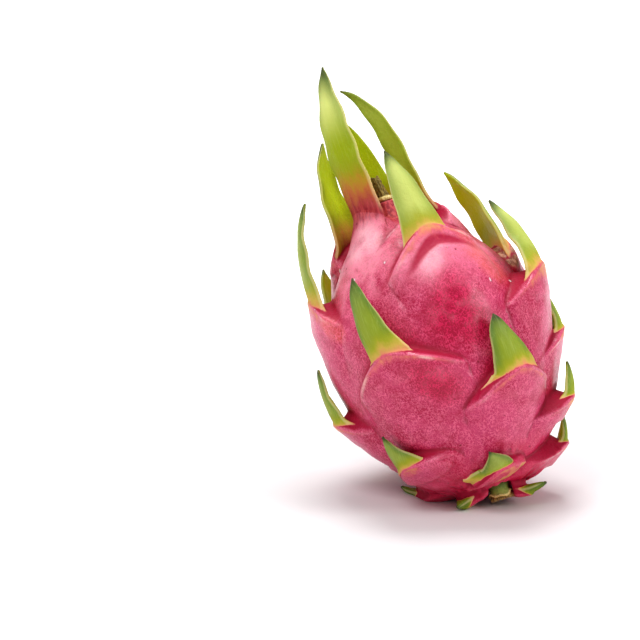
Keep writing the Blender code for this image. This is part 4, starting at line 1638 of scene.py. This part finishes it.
def flower_finish():
    """Dry brown fibres on a pale collar."""
    finish = Finish("dried_flower")
    place = finish.noted("place", vector=True)
    fibres = finish.cloud(finish.stretched(place, 3.0, 3.0, 0.6), 1.0, 4.0)
    spots = finish.cloud(place, 1.6, 4.0)
    brown = finish.ramp(
        fibres,
        (0.30, paint(62, 48, 22)),
        (0.48, paint(118, 100, 44)),
        (0.62, paint(150, 128, 62)),
        (0.75, paint(190, 166, 96)),
    )
    collar = finish.ramp(spots, (0.35, paint(196, 168, 92)), (0.60, paint(236, 220, 160)))
    return finish.surface(
        {
            "Base Color": finish.blend(finish.noted("style"), collar, brown),
            "Roughness": 0.65 + 0.2 * spots,
            "Normal": finish.bump(fibres, 0.0003),
        }
    )


def stub_finish():
    """Green stem with a pale rim and a golden-brown fibrous end, by millimetres from its top."""
    finish = Finish("stem_stub")
    place = finish.noted("place", vector=True)
    spots = finish.cloud(place, 1.2, 4.0)
    strands = finish.cloud(finish.stretched(place, 3.0, 3.0, 0.5), 1.2, 3.0)
    down = finish.noted("down") + (spots - 0.5) * 0.8
    rind = finish.ramp(
        down / 8.0,
        (0.20, paint(92, 108, 36)),
        (0.40, paint(142, 160, 70)),
        (0.53, paint(164, 172, 88)),
        (0.57, paint(244, 232, 160)),
        (0.63, paint(214, 178, 96)),
        (0.68, paint(104, 72, 32)),
        (0.81, paint(186, 144, 74)),
        (0.90, paint(232, 200, 132)),
    )
    dark_strands = finish.band(strands, 0.52, 0.64) * 0.45
    return finish.surface(
        {
            "Base Color": finish.blend(dark_strands, rind, paint(70, 48, 22)),
            "Roughness": 0.6 + 0.2 * spots,
            "Normal": finish.bump(spots, 0.0003),
        }
    )


def paper_finish():
    """White studio paper, in soft shade about the fruit and made white further off by a painted glow."""
    finish = Finish("studio_paper")
    place = finish.add("ShaderNodeTexCoord", {}, {}, "Object")
    tooth = finish.cloud(place, 900.0, 2.0)
    moved = finish.add("ShaderNodeVectorMath", {"operation": "ADD"}, {0: place, 1: SHADE_OFFSET})
    away = finish.add("ShaderNodeVectorMath", {"operation": "LENGTH"}, {0: moved}, "Value")
    # Painted glow: emission makes the paper white away from the fruit.
    painted_floor_glow = finish.band(away, *SHADE_REACH)
    return finish.surface(
        {
            "Base Color": finish.blend(tooth * 0.02, paint(228, 227, 228), paint(222, 221, 221)),
            "Roughness": 0.9,
            "Emission Color": finish.blend(painted_floor_glow, BLACK, WHITE),
            "Emission Strength": 0.6,
        }
    )


# Camera, as the photograph sees the fruit.
IMAGE_SIDE = 640
LENS = 140.6
SENSOR = 36.0
CAMERA_DISTANCE = 0.9
CAMERA_HEIGHT_ANGLE = 13.0
BODY_MIDDLE = (0.0, 0.0, 0.0526)
BODY_MIDDLE_IN_IMAGE = (440, 357)
NEAREST_SEEN = 0.05
FARTHEST_SEEN = 50.0

# Studio: soft square lights, as name, place, side and watts, and the point that they face, the sky's
# strength, the floor's half side, and how far off the middle is of the shade left about the fruit by the
# floor's painted white glow, and where that shade ends.
LIGHTS = (
    ("key", (-0.45, -0.60, 1.00), 0.5, 4.6),
    ("overhead", (-0.05, 0.30, 1.12), 0.5, 8.0),
    ("side", (1.10, -0.40, 0.60), 0.5, 4.0),
)
LIT_POINT = (0, 0, 0.06)
SKY_STRENGTH = 0.42
FLOOR_SIZE = 8.0
SHADE_OFFSET = (0.045, 0.040, 0.0)
SHADE_REACH = (0.10, 0.30)


def set_camera():
    """The camera at the photograph's viewing angle and framing."""
    angle = math.radians(CAMERA_HEIGHT_ANGLE)
    right = np.array([1.0, 0, 0])
    upwards = np.array([0, math.sin(angle), math.cos(angle)])
    forwards = np.array([0, math.cos(angle), -math.sin(angle)])
    metres_per_pixel = CAMERA_DISTANCE / (IMAGE_SIDE * LENS / SENSOR)
    aim = lean(np.array([BODY_MIDDLE]))[0]
    aim = aim - right * (BODY_MIDDLE_IN_IMAGE[0] - IMAGE_SIDE / 2) * metres_per_pixel
    aim = aim + upwards * (BODY_MIDDLE_IN_IMAGE[1] - IMAGE_SIDE / 2) * metres_per_pixel
    data = bpy.data.cameras.new("camera")
    data.lens = LENS
    data.sensor_width = SENSOR
    data.clip_start = NEAREST_SEEN
    data.clip_end = FARTHEST_SEEN
    camera = bpy.data.objects.new("camera", data)
    camera.location = Vector(aim - forwards * CAMERA_DISTANCE)
    camera.rotation_euler = (math.radians(90) - angle, 0, 0)
    bpy.context.scene.collection.objects.link(camera)
    bpy.context.scene.camera = camera


def add_soft_light(name, place, side, watts):
    """A square soft light that faces the fruit."""
    data = bpy.data.lights.new(name, "AREA")
    data.size = side
    data.energy = watts
    light = bpy.data.objects.new(name, data)
    light.location = place
    towards = Vector(LIT_POINT) - Vector(place)
    light.rotation_euler = towards.to_track_quat("-Z", "Y").to_euler()
    bpy.context.scene.collection.objects.link(light)


def set_studio():
    """White paper underneath and round about, and soft light from above."""
    mesh = bpy.data.meshes.new("studio_floor")
    sheet = bmesh.new()
    bmesh.ops.create_grid(sheet, x_segments=8, y_segments=8, size=FLOOR_SIZE)
    sheet.to_mesh(mesh)
    sheet.free()
    floor = bpy.data.objects.new("studio_floor", mesh)
    bpy.context.scene.collection.objects.link(floor)
    mesh.materials.append(paper_finish())
    world = bpy.data.worlds.new("studio")
    world.use_nodes = True
    background = world.node_tree.nodes["Background"]
    background.inputs["Color"].default_value = WHITE
    background.inputs["Strength"].default_value = SKY_STRENGTH
    bpy.context.scene.world = world
    for name, place, side, watts in LIGHTS:
        add_soft_light(name, place, side, watts)
    view = bpy.context.scene.view_settings
    view.view_transform = "Standard"
    view.look = "Medium High Contrast"
    view.exposure = 0.0


def main():
    """Makes the studio, and each piece with its finish in the place of its node."""
    set_camera()
    set_studio()
    for piece, finish, node, slot in (
        (make_fruit(), skin_finish(), "fruit", "fruit_skin"),
        (make_dried_flower(), flower_finish(), "dried_flower", "dried_flower"),
        (make_stem_stub(), stub_finish(), "stem_stub", "stem_stub"),
    ):
        piece.data.materials.append(finish)
        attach(piece, "root")
        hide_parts(node)


main()
